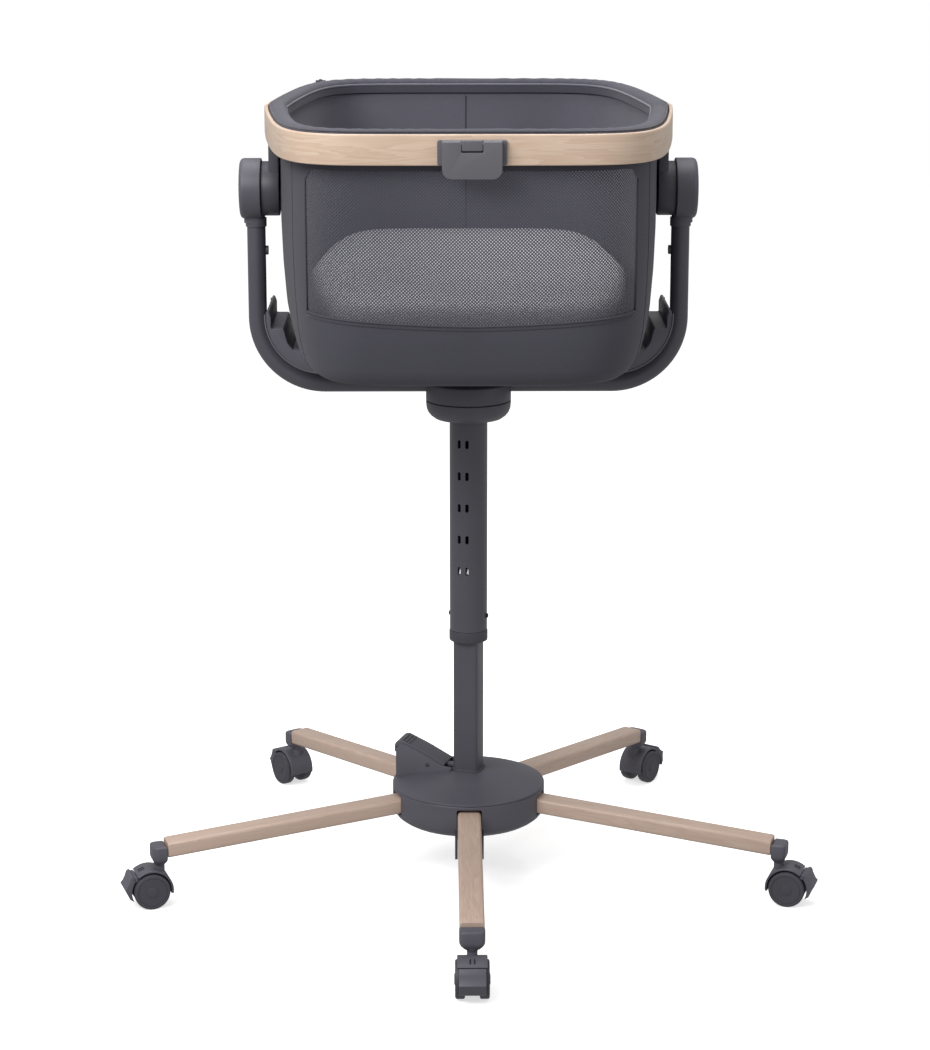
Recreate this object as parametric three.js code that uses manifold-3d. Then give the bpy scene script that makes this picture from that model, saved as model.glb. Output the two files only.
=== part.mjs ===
// Bassinet on a height-adjustable swivel stand.
// Millimetres, +Z up, the floor at z = 0. The foot end of the tub faces -Y.
// Everything is laid out round the column's axis; the last lines slide the whole stand
// along Y so that the origin is the centre of its footprint.

import * as THREE from "three";
import * as BufferGeometryUtils from "three/addons/utils/BufferGeometryUtils.js";
import Module from "manifold-3d";

const wasm = await Module();
wasm.setup();

// ---------------------------------------------------------------- driving dimensions

const GAP = 0.3; // clearance between pieces that touch
const RUNNING_GAP = 0.3; // radial clearance of a shaft in its bore

// tub: the plan outline is a rounded rectangle whose long sides draw in to the ends
const RIM_HALF_WIDTH = 262;
const RIM_HALF_LENGTH = 398;
const PLAN_POWER = 7; // squareness of the corners
const PLAN_TAPER = 0.16; // share of the width lost at the ends
const PLAN_TAPER_POWER = 1.2;
const PLAN_POINTS = 36;
const PLAN_SPREAD = 0.9; // moves the outline's points out of the corners to the sides
const BAND_BOTTOM = 1001; // height of the band's lower edge above the floor
const BAND_HEIGHT = 36;
const BAND_THICKNESS = 5;
const FRAME_WIDTH = 12;
const FRAME_HEIGHT = 19;
const PAD_WIDTH = 23;
const PAD_RISE = 5; // the padded rim stands this much above the band
const TUB_DEPTH = 269; // from the band's lower edge down to the tub's bottom
const TUB_WALL = 5;
const TUB_INSET = 19.5; // the cloth wall hangs this far inside the band
const WINDOW_HALF_WIDTH = RIM_HALF_WIDTH - 67;
const WINDOW_BOTTOM = 79; // above the tub's bottom, at the middle
const WINDOW_SIDE_RISE = 11; // the window's lower edge climbs this much to its sides
const WINDOW_TOP = 8; // below the band
const MATTRESS_HALF_WIDTH = RIM_HALF_WIDTH - 57;
const MATTRESS_HALF_LENGTH = RIM_HALF_LENGTH - 42;
const MATTRESS_THICKNESS = 55;
const MATTRESS_TRAY_HEIGHT = 42;

// fork and tilt pivots
const FORK_TUBE_RADIUS = 12;
const FORK_TUBE_WALL = 2;
const FORK_SIDE_ROOM = 13; // from the band's outer line out to the arm's centre line
const FORK_UNDER_ROOM = 45; // from the tub's bottom down to the top of the bar
const FORK_ARM_X = RIM_HALF_WIDTH + FORK_SIDE_ROOM;
const FORK_BAR_HEIGHT = BAND_BOTTOM - TUB_DEPTH - FORK_UNDER_ROOM - FORK_TUBE_RADIUS;
const FORK_BEND_RADIUS = 87;
const PIVOT_HEIGHT = BAND_BOTTOM - 71;
const PIVOT_HUB_RADIUS = 39;
const PIVOT_HUB_WIDTH = 28;
const PIVOT_COLLAR_LENGTH = 12;
const PIVOT_DRUM_RADIUS = 35;
const PIVOT_SHAFT_RADIUS = 10;
const PIVOT_SHAFT_LENGTH = 17;
const CRADLE_HALF_DEPTH = 70;
const CRADLE_WALL = 5;

// hub and legs
const HUB_RADIUS = 103;
const HUB_BOTTOM = 74;
const HUB_SEAM = HUB_BOTTOM + 47; // where the dome meets the housing
const HUB_DOME_RISE = 21;
const HUB_WALL = 3;
const HUB_SIDES = 32;
const LEG_COUNT = 5;
const LEG_WIDTH = 31;
const LEG_HEIGHT = 21;
const LEG_CORNER = 8;
const LEG_WALL = 2;
const LEG_INNER_END = 38;
const LEG_HEIGHT_AT_HUB = HUB_SEAM - 16;
const LEG_MOUTH_ROOM = 1.2; // round the leg where it leaves the housing
const CHANNEL_WALL = 4;
const CHANNEL_REACH = 88;
const BRACKET_LENGTH = 20; // foot bracket under the front leg
const BRACKET_DROP = 33;
const BRACKET_WALL = 3.5;

// column
const COLUMN_TURN = -18; // degrees about Z from the tub's axes
const OUTER_MAST_RADIUS = 25;
const OUTER_MAST_WALL = 2.5;
const BUSH_COLLAR = 15;
const BUSH_SLEEVE = 26;
const INNER_MAST_SIDE = 34;
const INNER_MAST_CORNER = 5;
const INNER_MAST_WALL = 2;
const SWIVEL_RADIUS = 56;
const SWIVEL_BOTTOM = FORK_BAR_HEIGHT - 48;
const SWIVEL_CUP_HEIGHT = 25;
const SWIVEL_PIN_RADIUS = 8;
const SLOT_WIDTH = 4.5;
const SLOT_HEIGHT = 11;
const SLOT_PAIR_SPACING = 10.8;
const SLOT_ROWS = 5;
const SLOT_BELOW_TOP = 28; // lowest slots below the inner mast's top
const BUSH_BELOW_SLOTS = 100;
const TOP_ROOM = 3; // left over the inner mast when the stand is lowest
const HUB_ROOM = 9.7; // left between bush and dome when the stand is lowest
const HUB_TOP = HUB_SEAM + GAP + HUB_DOME_RISE;
const MAST_OVERLAP = SLOT_BELOW_TOP + BUSH_BELOW_SLOTS + TOP_ROOM;
const TRAVEL = (SWIVEL_BOTTOM - HUB_TOP - HUB_ROOM - MAST_OVERLAP) / 2;
const SLOT_STEP = TRAVEL / (SLOT_ROWS - 1);
const INNER_MAST_TOP = SWIVEL_BOTTOM - TRAVEL - TOP_ROOM;
const SLOT_LOWEST = INNER_MAST_TOP - SLOT_BELOW_TOP;
const BUSH_BOTTOM = SLOT_LOWEST - BUSH_BELOW_SLOTS;

// casters
const STEM_REACH = 430; // column axis to caster stem
const STEM_RADIUS = 5;
const NECK_RADIUS = 6.5;
const WHEEL_RADIUS = 24;
const WHEEL_THICKNESS = 12;
const WHEEL_TRACK = 42; // outer face to outer face
const WHEEL_SIDES = 20;
const CASTER_TRAIL = 14.3;
const AXLE_RADIUS = 3;
const HOOD_RADIUS = WHEEL_RADIUS + 5;
const HOOD_THICKNESS = 3;
const HOOD_WIDTH = 37;
const CAP_BOTTOM = 2 * WHEEL_RADIUS + 7;
const CAP_TOP = CAP_BOTTOM + 27.5;
const CAP_REACH = 11; // from the stem out to the cap's rounded nose
const LEG_OUTER_END = STEM_REACH - 9;
const LEG_END_HEIGHT = CAP_BOTTOM + 22.2;
const LEG_DROP = (LEG_HEIGHT_AT_HUB - LEG_END_HEIGHT) / (LEG_OUTER_END - LEG_INNER_END);
const LEVER_WIDTH = 33;
const LEVER_PIVOT_ANGLE = 42; // degrees above the axle's outward side
const LEVER_BARREL_RADIUS = 3;
const LEVER_LIFT = 25; // degrees between brake on and brake off
const RELEASED_CASTER = 3; // this one's brake stands off, the others' are on

// pedal, measured outwards from the column axis
const PEDAL_WIDTH = 37;
const PEDAL_HOUSING_WALL = 3;
const PEDAL_PIVOT_REACH = 52;
const PEDAL_PIVOT_HEIGHT = HUB_SEAM + 27;
const PEDAL_PIN_RADIUS = 3;
const PEDAL_TIP_REACH = 100;
const PEDAL_TAIL_REACH = -2; // the tail ends just past the rod it lifts

// front clip
const CLIP_WIDTH = 80;
const CLIP_PLATE_THICKNESS = 4;
const CLIP_FLAP_WIDTH = 69;
const CLIP_FLAP_HEIGHT = 44;
const CLIP_FLAP_THICKNESS = 4;
const CLIP_BLOCK_WIDTH = 24;
const CLIP_PIN_RADIUS = 1.5;

// ---------------------------------------------------------------- colours

const finishes = {
  plastic: { color: 0x4b4a54, roughness: 0.6, metalness: 0 },
  darkPlastic: { color: 0x3d3c44, roughness: 0.55, metalness: 0 },
  paintedSteel: { color: 0x4d4c57, roughness: 0.5, metalness: 0.2 },
  steel: { color: 0xb9bbbe, roughness: 0.35, metalness: 0.9 },
  woodPrint: { color: 0xd3b79f, roughness: 0.5, metalness: 0 },
  fabric: { color: 0x55545f, roughness: 0.95, metalness: 0 },
  mesh: { color: 0x5c5b66, roughness: 0.95, metalness: 0 },
  mattress: { color: 0xd9d9dc, roughness: 0.95, metalness: 0 },
  clip: { color: 0x65646a, roughness: 0.5, metalness: 0 },
};

// ---------------------------------------------------------------- helpers

const radians = THREE.MathUtils.degToRad;

function piece(name, geometry, finish) {
  const mesh = new THREE.Mesh(geometry, new THREE.MeshStandardMaterial(finishes[finish]));
  mesh.name = name;
  return mesh;
}

// A profile may be drawn either way round: turn the faces over if they look inwards.
function facingOut(geometry) {
  const bare = geometry.index ? geometry.toNonIndexed() : geometry;
  const place = bare.attributes.position;
  const [a, b, c] = [new THREE.Vector3(), new THREE.Vector3(), new THREE.Vector3()];
  let volume = 0;
  for (let i = 0; i < place.count; i += 3) {
    a.fromBufferAttribute(place, i);
    b.fromBufferAttribute(place, i + 1);
    c.fromBufferAttribute(place, i + 2);
    volume += a.dot(b.cross(c));
  }
  if (volume < 0) {
    for (let i = 0; i < place.count; i += 3) {
      a.fromBufferAttribute(place, i + 1);
      b.fromBufferAttribute(place, i + 2);
      place.setXYZ(i + 1, b.x, b.y, b.z);
      place.setXYZ(i + 2, a.x, a.y, a.z);
    }
  }
  const outward = new THREE.BufferGeometry();
  outward.setAttribute("position", place);
  return outward;
}

// Merge shared corners and hand the geometry to the solid library.
function solid(geometry) {
  const bare = geometry.index ? geometry.toNonIndexed() : geometry.clone();
  for (const attribute of Object.keys(bare.attributes)) {
    if (attribute !== "position") {
      bare.deleteAttribute(attribute);
    }
  }
  const merged = BufferGeometryUtils.mergeVertices(bare, 1e-4);
  const mesh = new wasm.Mesh({
    numProp: 3,
    vertProperties: new Float32Array(merged.attributes.position.array),
    triVerts: new Uint32Array(merged.index.array),
  });
  return new wasm.Manifold(mesh);
}

function geometryOf(body) {
  const mesh = body.getMesh();
  const geometry = new THREE.BufferGeometry();
  geometry.setAttribute("position", new THREE.BufferAttribute(mesh.vertProperties, 3));
  geometry.setIndex(new THREE.BufferAttribute(mesh.triVerts, 1));
  return geometry;
}

function box(minX, maxX, minY, maxY, minZ, maxZ) {
  const geometry = new THREE.BoxGeometry(maxX - minX, maxY - minY, maxZ - minZ);
  return geometry.translate((minX + maxX) / 2, (minY + maxY) / 2, (minZ + maxZ) / 2);
}

// A cylinder from one height to another along Z, or with its axis turned to X or Y.
function cylinder(radius, from, to, sides = 24, axis = "z") {
  const geometry = new THREE.CylinderGeometry(radius, radius, to - from, sides);
  geometry.rotateX(Math.PI / 2);
  geometry.translate(0, 0, (from + to) / 2);
  if (axis === "x") {
    geometry.rotateY(Math.PI / 2);
  }
  if (axis === "y") {
    geometry.rotateX(-Math.PI / 2);
  }
  return geometry;
}

// Turn a closed profile of [radius, height] pairs about Z.
function turned(profile, sides = 32) {
  const points = profile.map(([radius, height]) => new THREE.Vector2(radius, height));
  const geometry = new THREE.LatheGeometry(points, sides);
  geometry.rotateX(Math.PI / 2);
  return facingOut(geometry);
}

function polygon(points) {
  return new THREE.Shape(points.map(([x, y]) => new THREE.Vector2(x, y)));
}

function roundedRectangle(width, height, corner, Kind = THREE.Shape) {
  const shape = new Kind();
  const x = width / 2;
  const y = height / 2;
  shape.moveTo(-x + corner, -y);
  shape.lineTo(x - corner, -y);
  shape.absarc(x - corner, -y + corner, corner, -Math.PI / 2, 0, false);
  shape.lineTo(x, y - corner);
  shape.absarc(x - corner, y - corner, corner, 0, Math.PI / 2, false);
  shape.lineTo(-x + corner, y);
  shape.absarc(-x + corner, y - corner, corner, Math.PI / 2, Math.PI, false);
  shape.lineTo(-x, -y + corner);
  shape.absarc(-x + corner, -y + corner, corner, Math.PI, Math.PI * 1.5, false);
  return shape;
}

function extruded(shape, from, to, curveSegments = 4) {
  const geometry = new THREE.ExtrudeGeometry(shape, {
    depth: to - from,
    bevelEnabled: false,
    curveSegments,
  });
  return geometry.translate(0, 0, from);
}

// A section drawn in X (sideways) and Z (up), carried along Y.
function extrudedAlongY(shape, from, to, curveSegments = 4) {
  return extruded(shape, -to, -from, curveSegments).rotateX(Math.PI / 2);
}

// A section drawn in the leg's sideways and upward directions, carried along +X.
function extrudedAlongX(shape, from, to, curveSegments = 4) {
  return extruded(shape, from, to, curveSegments).rotateX(Math.PI / 2).rotateZ(Math.PI / 2);
}

// A skin over rings of equal length. "loop" joins the last ring to the first.
function skin(rings, loop) {
  const count = rings[0].length;
  const positions = rings.flat().flatMap((point) => [point.x, point.y, point.z]);
  const faces = [];
  const spans = loop ? rings.length : rings.length - 1;
  for (let i = 0; i < spans; i += 1) {
    const here = i * count;
    const next = ((i + 1) % rings.length) * count;
    for (let j = 0; j < count; j += 1) {
      const k = (j + 1) % count;
      faces.push(here + j, here + k, next + k);
      faces.push(here + j, next + k, next + j);
    }
  }
  if (!loop) {
    const first = positions.length / 3;
    for (const ring of [rings[0], rings[rings.length - 1]]) {
      const middle = new THREE.Vector3();
      ring.forEach((point) => middle.addScaledVector(point, 1 / count));
      positions.push(middle.x, middle.y, middle.z);
    }
    const top = (rings.length - 1) * count;
    for (let j = 0; j < count; j += 1) {
      const k = (j + 1) % count;
      faces.push(first, k, j);
      faces.push(first + 1, top + j, top + k);
    }
  }
  const geometry = new THREE.BufferGeometry();
  geometry.setAttribute("position", new THREE.Float32BufferAttribute(positions, 3));
  geometry.setIndex(faces);
  return facingOut(geometry);
}

// One level ring of the tub's plan, "inset" inside the rim's outer line.
function planRing(inset, height, halfWidth = RIM_HALF_WIDTH, halfLength = RIM_HALF_LENGTH) {
  const ring = [];
  for (let i = 0; i < PLAN_POINTS; i += 1) {
    const turn = (i / PLAN_POINTS) * Math.PI * 2;
    const angle = turn - (PLAN_SPREAD * Math.sin(4 * turn)) / 4;
    const across = Math.sign(Math.cos(angle)) * Math.abs(Math.cos(angle)) ** (2 / PLAN_POWER);
    const along = Math.sign(Math.sin(angle)) * Math.abs(Math.sin(angle)) ** (2 / PLAN_POWER);
    const taper = 1 - PLAN_TAPER * Math.abs(along) ** PLAN_TAPER_POWER;
    ring.push(
      new THREE.Vector3(across * (halfWidth - inset) * taper, along * (halfLength - inset), height),
    );
  }
  return ring;
}

// A closed band round the plan, from a section of [inset, height] pairs that runs
// up the outside, over and down the inside.
function planBand(section) {
  return skin(section.map(([inset, height]) => planRing(inset, height)), true);
}

// ---------------------------------------------------------------- hub and legs

const legHeight = (reach) => LEG_HEIGHT_AT_HUB - LEG_DROP * (reach - LEG_INNER_END);
const legSlope = Math.atan(LEG_DROP);
const channelWidth = LEG_WIDTH + 2 * GAP + 2 * CHANNEL_WALL;
const tongueWidth = LEG_WIDTH - 4;

// A straight section laid along the leg's own sloping axis, between two reaches.
function alongLeg(shape, from, to, curveSegments = 2) {
  const length = (to - from) / Math.cos(legSlope);
  const geometry = extrudedAlongX(shape, 0, length, curveSegments);
  geometry.rotateY(legSlope);
  return geometry.translate(from, 0, legHeight(from));
}

function legGeometry() {
  const shape = roundedRectangle(LEG_WIDTH, LEG_HEIGHT, LEG_CORNER);
  const inside = roundedRectangle(
    LEG_WIDTH - 2 * LEG_WALL,
    LEG_HEIGHT - 2 * LEG_WALL,
    LEG_CORNER - LEG_WALL,
    THREE.Path,
  );
  shape.holes.push(inside);
  return alongLeg(shape, LEG_INNER_END, LEG_OUTER_END);
}

// Head that closes the leg's end, a cone down to the caster's neck, a plug in the leg.
function legCapGeometry() {
  const end = LEG_OUTER_END + GAP + 0.5;
  const underLeg = LEG_END_HEIGHT - LEG_HEIGHT / 2 - 1;
  const half = LEG_WIDTH / 2 + 0.5;
  const nose = new THREE.Shape();
  const noseRadius = 9;
  const tip = STEM_REACH + CAP_REACH;
  nose.moveTo(end, -half);
  nose.lineTo(tip - noseRadius, -half);
  nose.absarc(tip - noseRadius, -half + noseRadius, noseRadius, -Math.PI / 2, 0, false);
  nose.lineTo(tip, half - noseRadius);
  nose.absarc(tip - noseRadius, half - noseRadius, noseRadius, 0, Math.PI / 2, false);
  nose.lineTo(end, half);
  const head = extruded(nose, underLeg - 2, CAP_TOP);
  const coneRadius = CAP_REACH - 0.5;
  const cone = turned(
    [
      [0, CAP_BOTTOM],
      [NECK_RADIUS + 0.5, CAP_BOTTOM],
      [NECK_RADIUS + 1.5, CAP_BOTTOM + 3],
      [coneRadius, underLeg - 1.5],
      [coneRadius, underLeg],
      [0, underLeg],
    ],
    14,
  ).translate(STEM_REACH, 0, 0);
  const plugShape = roundedRectangle(
    LEG_WIDTH - 2 * LEG_WALL - 2 * GAP,
    LEG_HEIGHT - 2 * LEG_WALL - 2 * GAP,
    LEG_CORNER - LEG_WALL - GAP,
  );
  const plug = alongLeg(plugShape, LEG_OUTER_END - 25, end + 1);
  const bore = cylinder(STEM_RADIUS + RUNNING_GAP, CAP_BOTTOM - 1, CAP_TOP - 4, 12);
  bore.translate(STEM_REACH, 0, 0);
  return geometryOf(solid(head).add(solid(cone)).add(solid(plug)).subtract(solid(bore)));
}

const mastShape = (grow, Kind) =>
  roundedRectangle(
    INNER_MAST_SIDE + 2 * grow,
    INNER_MAST_SIDE + 2 * grow,
    Math.max(INNER_MAST_CORNER + grow, 0.5),
    Kind,
  );

function mastPrism(grow, from, to) {
  return solid(extruded(mastShape(grow), from, to).rotateZ(radians(COLUMN_TURN)));
}

// A downward U under the front leg just outside the housing, on a tongue from inside it.
function footBracket() {
  const top = -LEG_HEIGHT / 2 - GAP;
  const under = top - BRACKET_WALL;
  const half = LEG_WIDTH / 2 + BRACKET_WALL;
  const inner = half - BRACKET_WALL;
  const cheeks = polygon([
    [-half, top],
    [-half, top - BRACKET_DROP],
    [-inner, top - BRACKET_DROP],
    [-inner, under],
    [inner, under],
    [inner, top - BRACKET_DROP],
    [half, top - BRACKET_DROP],
    [half, top],
  ]);
  const tongueHalf = tongueWidth / 2;
  const tongue = polygon([
    [-tongueHalf, under],
    [tongueHalf, under],
    [tongueHalf, top],
    [-tongueHalf, top],
  ]);
  const from = HUB_RADIUS + 1;
  const plate = solid(alongLeg(tongue, CHANNEL_REACH - 5, from + 5));
  return plate.add(solid(alongLeg(cheeks, from, from + BRACKET_LENGTH)));
}

// Boss round the column foot with one U-channel under each leg.
function spiderGeometry() {
  const floorTop = -LEG_HEIGHT / 2 - GAP;
  const half = channelWidth / 2;
  const inner = half - CHANNEL_WALL;
  const wallTop = LEG_HEIGHT * 0.3;
  const section = polygon([
    [-half, floorTop - CHANNEL_WALL],
    [half, floorTop - CHANNEL_WALL],
    [half, wallTop],
    [inner, wallTop],
    [inner, floorTop],
    [-inner, floorTop],
    [-inner, wallTop],
    [-half, wallTop],
  ]);
  const bossTop = HUB_SEAM - 3;
  let spider = solid(cylinder(LEG_INNER_END - 1.5, HUB_BOTTOM + 6, bossTop, 30));
  for (let i = 0; i < LEG_COUNT; i += 1) {
    const channel = alongLeg(section, LEG_INNER_END - 6, CHANNEL_REACH);
    spider = spider.add(solid(channel.rotateZ(legAngle(i))));
  }
  spider = spider.add(footBracket().rotate([0, 0, -90]));
  return geometryOf(spider.subtract(mastPrism(GAP, HUB_BOTTOM + 9, bossTop + 1)));
}

function hubHousingGeometry() {
  const bowl = turned(
    [
      [0, HUB_BOTTOM],
      [HUB_RADIUS - 22, HUB_BOTTOM],
      [HUB_RADIUS - 9, HUB_BOTTOM + 4],
      [HUB_RADIUS - 2, HUB_BOTTOM + 11],
      [HUB_RADIUS, HUB_BOTTOM + 20],
      [HUB_RADIUS, HUB_SEAM],
      [HUB_RADIUS - HUB_WALL, HUB_SEAM],
      [HUB_RADIUS - HUB_WALL, HUB_BOTTOM + 21],
      [HUB_RADIUS - 12, HUB_BOTTOM + 8],
      [HUB_RADIUS - 23, HUB_BOTTOM + HUB_WALL],
      [0, HUB_BOTTOM + HUB_WALL],
    ],
    HUB_SIDES,
  );
  let housing = solid(bowl);
  const mouth = roundedRectangle(
    LEG_WIDTH + 2 * LEG_MOUTH_ROOM,
    LEG_HEIGHT + 2 * LEG_MOUTH_ROOM,
    LEG_CORNER + LEG_MOUTH_ROOM,
  );
  for (let i = 0; i < LEG_COUNT; i += 1) {
    const opening = alongLeg(mouth, LEG_INNER_END, HUB_RADIUS + 10);
    housing = housing.subtract(solid(opening.rotateZ(legAngle(i))));
  }
  const slotHalf = tongueWidth / 2 + GAP;
  const slotLow = -LEG_HEIGHT / 2 - BRACKET_WALL - 2 * GAP;
  const tongueSlot = polygon([
    [-slotHalf, slotLow],
    [slotHalf, slotLow],
    [slotHalf, 0],
    [-slotHalf, 0],
  ]);
  const slot = alongLeg(tongueSlot, LEG_INNER_END, HUB_RADIUS + 10).rotateZ(legAngle(0));
  return geometryOf(housing.subtract(solid(slot)));
}

// Outer surface of the dome as [radius, height] pairs, rim first.
function domeProfile(grow) {
  const base = HUB_SEAM + GAP;
  const top = base + HUB_DOME_RISE;
  const profile = [[HUB_RADIUS, base]];
  for (const share of [0.99, 0.92, 0.75, 0.5, 0.25]) {
    const rise = 1 - share ** 2.2;
    profile.push([HUB_RADIUS * share, base + 3 + (HUB_DOME_RISE - 3) * rise + grow]);
  }
  profile.push([0, top + grow]);
  return profile;
}

function hubCoverGeometry() {
  const outside = domeProfile(0);
  const inside = domeProfile(-HUB_WALL)
    .slice(2)
    .reverse();
  const lip = [HUB_RADIUS - HUB_WALL, HUB_SEAM + GAP];
  const shell = solid(turned([lip, ...outside, ...inside, lip], HUB_SIDES));
  return geometryOf(shell.subtract(mastPrism(0.6, HUB_SEAM - 10, HUB_SEAM + 60)));
}

function legAngle(index) {
  return radians(-90 + (360 / LEG_COUNT) * index);
}

// ---------------------------------------------------------------- casters

// The caster is drawn with its stem on the Z axis and its wheels trailing towards +X.
const wheelCentre = WHEEL_RADIUS * Math.cos(Math.PI / WHEEL_SIDES);
const leverPivot = {
  x: CASTER_TRAIL + (HOOD_RADIUS - HOOD_THICKNESS / 2) * Math.cos(radians(LEVER_PIVOT_ANGLE)),
  z: wheelCentre + (HOOD_RADIUS - HOOD_THICKNESS / 2) * Math.sin(radians(LEVER_PIVOT_ANGLE)),
};

function fromWheel(radius, degrees) {
  return [
    CASTER_TRAIL + radius * Math.cos(radians(degrees)),
    wheelCentre + radius * Math.sin(radians(degrees)),
  ];
}

function arcPoints(radius, from, to, steps) {
  const points = [];
  for (let i = 0; i <= steps; i += 1) {
    points.push(fromWheel(radius, from + ((to - from) * i) / steps));
  }
  return points;
}

function casterHoodGeometry() {
  const start = LEVER_PIVOT_ANGLE + 2;
  const end = 192;
  const fender = polygon([
    ...arcPoints(HOOD_RADIUS, start, end, 12),
    ...arcPoints(HOOD_RADIUS - HOOD_THICKNESS, end, start, 12),
  ]);
  const webHalf = WHEEL_TRACK / 2 - WHEEL_THICKNESS - 1.5;
  const web = polygon([
    ...arcPoints(HOOD_RADIUS - HOOD_THICKNESS / 2, start, end, 10),
    ...arcPoints(AXLE_RADIUS + 6, 225, 335, 4),
  ]);
  const socket = [
    cylinder(NECK_RADIUS, wheelCentre + 16, CAP_BOTTOM - GAP, 12),
    cylinder(STEM_RADIUS, CAP_BOTTOM - 2, CAP_TOP - 6, 12),
  ];
  let hood = solid(extrudedAlongY(fender, -HOOD_WIDTH / 2, HOOD_WIDTH / 2));
  hood = hood.add(solid(extrudedAlongY(web, -webHalf, webHalf)));
  for (const part of socket) {
    hood = hood.add(solid(part));
  }
  const bore = cylinder(AXLE_RADIUS + RUNNING_GAP, -webHalf - 1, webHalf + 1, 14, "y");
  const seat = cylinder(LEVER_BARREL_RADIUS + 0.5, -HOOD_WIDTH, HOOD_WIDTH, 14, "y");
  hood = hood.subtract(solid(bore.translate(CASTER_TRAIL, 0, wheelCentre)));
  hood = hood.subtract(solid(seat.translate(leverPivot.x, 0, leverPivot.z)));
  return geometryOf(hood);
}

// Two wheels on one axle, turned as a single profile about the axle.
function wheelPairGeometry() {
  const outer = WHEEL_TRACK / 2;
  const inner = outer - WHEEL_THICKNESS;
  const half = [
    [AXLE_RADIUS, inner],
    [WHEEL_RADIUS, inner],
    [WHEEL_RADIUS, outer - 2],
    [WHEEL_RADIUS - 2, outer],
    [0, outer],
  ];
  const mirrored = half.map(([radius, y]) => [radius, -y]).reverse();
  const pair = turned([...mirrored, ...half], WHEEL_SIDES);
  pair.rotateZ(Math.PI / WHEEL_SIDES);
  pair.rotateX(-Math.PI / 2);
  pair.rotateY(Math.PI / 2);
  return pair.translate(CASTER_TRAIL, 0, wheelCentre);
}

// Brake pad with its barrel; the tip points outwards.
function leverGeometry() {
  const clear = HOOD_RADIUS - HOOD_THICKNESS + 0.6;
  const outside = CASTER_TRAIL + HOOD_RADIUS;
  const pad = polygon([
    ...arcPoints(clear, LEVER_PIVOT_ANGLE - 3, -26, 6),
    [outside + 0.5, wheelCentre - 8],
    [outside + 4.5, wheelCentre + 2],
    [outside + 7, wheelCentre + 5.5],
    [outside + 4, wheelCentre + 9],
    [outside + 1, wheelCentre + 15],
    [outside - 1, leverPivot.z + LEVER_BARREL_RADIUS],
    [outside - 4, leverPivot.z + LEVER_BARREL_RADIUS + 2],
    [leverPivot.x + 1, leverPivot.z + LEVER_BARREL_RADIUS - 0.4],
  ]);
  const barrel = cylinder(LEVER_BARREL_RADIUS, -LEVER_WIDTH / 2, LEVER_WIDTH / 2, 14, "y");
  const slab = solid(extrudedAlongY(pad, -LEVER_WIDTH / 2, LEVER_WIDTH / 2));
  return geometryOf(slab.add(solid(barrel.translate(leverPivot.x, 0, leverPivot.z))));
}

function casterParts(number) {
  const caster = new THREE.Group();
  caster.position.set(STEM_REACH, 0, 0);
  caster.add(piece(`caster_hood_${number}`, casterHoodGeometry(), "plastic"));
  caster.add(piece(`caster_wheels_${number}`, wheelPairGeometry(), "darkPlastic"));
  const lever = leverGeometry();
  if (number === RELEASED_CASTER) {
    lever.translate(-leverPivot.x, 0, -leverPivot.z);
    lever.rotateY(-radians(LEVER_LIFT));
    lever.translate(leverPivot.x, 0, leverPivot.z);
  }
  caster.add(piece(`brake_lever_${number}`, lever, "plastic"));
  return caster;
}

function base() {
  const group = new THREE.Group();
  group.add(piece("hub_housing", hubHousingGeometry(), "plastic"));
  group.add(piece("hub_cover", hubCoverGeometry(), "plastic"));
  group.add(piece("hub_spider", spiderGeometry(), "darkPlastic"));
  for (let i = 0; i < LEG_COUNT; i += 1) {
    const arm = new THREE.Group();
    arm.rotation.z = legAngle(i);
    arm.add(piece(`leg_${i + 1}`, legGeometry(), "woodPrint"));
    arm.add(piece(`leg_cap_${i + 1}`, legCapGeometry(), "plastic"));
    arm.add(casterParts(i + 1));
    group.add(arm);
  }
  return group;
}

// ---------------------------------------------------------------- column

const mastInside = OUTER_MAST_RADIUS - OUTER_MAST_WALL;
const mastTop = SWIVEL_BOTTOM + 18;
const pedalTailHeight = PEDAL_PIVOT_HEIGHT - 4.5;
const rodBottom = pedalTailHeight + 5;
const boltHalfHeight = SLOT_HEIGHT / 2 - 1;
const rodTop = SLOT_LOWEST - boltHalfHeight - 7;

function innerMastGeometry() {
  const shape = mastShape(0);
  shape.holes.push(mastShape(-INNER_MAST_WALL, THREE.Path));
  let mast = solid(extruded(shape, HUB_BOTTOM + 10, INNER_MAST_TOP));
  const reach = INNER_MAST_SIDE / 2;
  const windowHalf = SLOT_PAIR_SPACING / 2 + SLOT_WIDTH / 2 + 1;
  const rise = SLOT_HEIGHT / 2 + 1;
  mast = mast.subtract(
    solid(box(-windowHalf, windowHalf, -reach - 2, -reach + 5, SLOT_LOWEST - rise, SLOT_LOWEST + rise)),
  );
  mast = mast.subtract(
    solid(box(-reach - 2, -reach + 5, -7, 7, pedalTailHeight - 3, pedalTailHeight + 14)),
  );
  return geometryOf(mast);
}

function innerGlideGeometry() {
  const plugSide = INNER_MAST_SIDE - 2 * INNER_MAST_WALL - 2 * GAP;
  const plug = extruded(roundedRectangle(plugSide, plugSide, 3), INNER_MAST_TOP - 12, INNER_MAST_TOP + 1);
  const disc = cylinder(mastInside - GAP, INNER_MAST_TOP + GAP, INNER_MAST_TOP + 5.5, 32);
  return geometryOf(solid(plug).add(solid(disc)));
}

function pullRodGeometry() {
  return cylinder(4, rodBottom, rodTop, 16);
}

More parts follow.
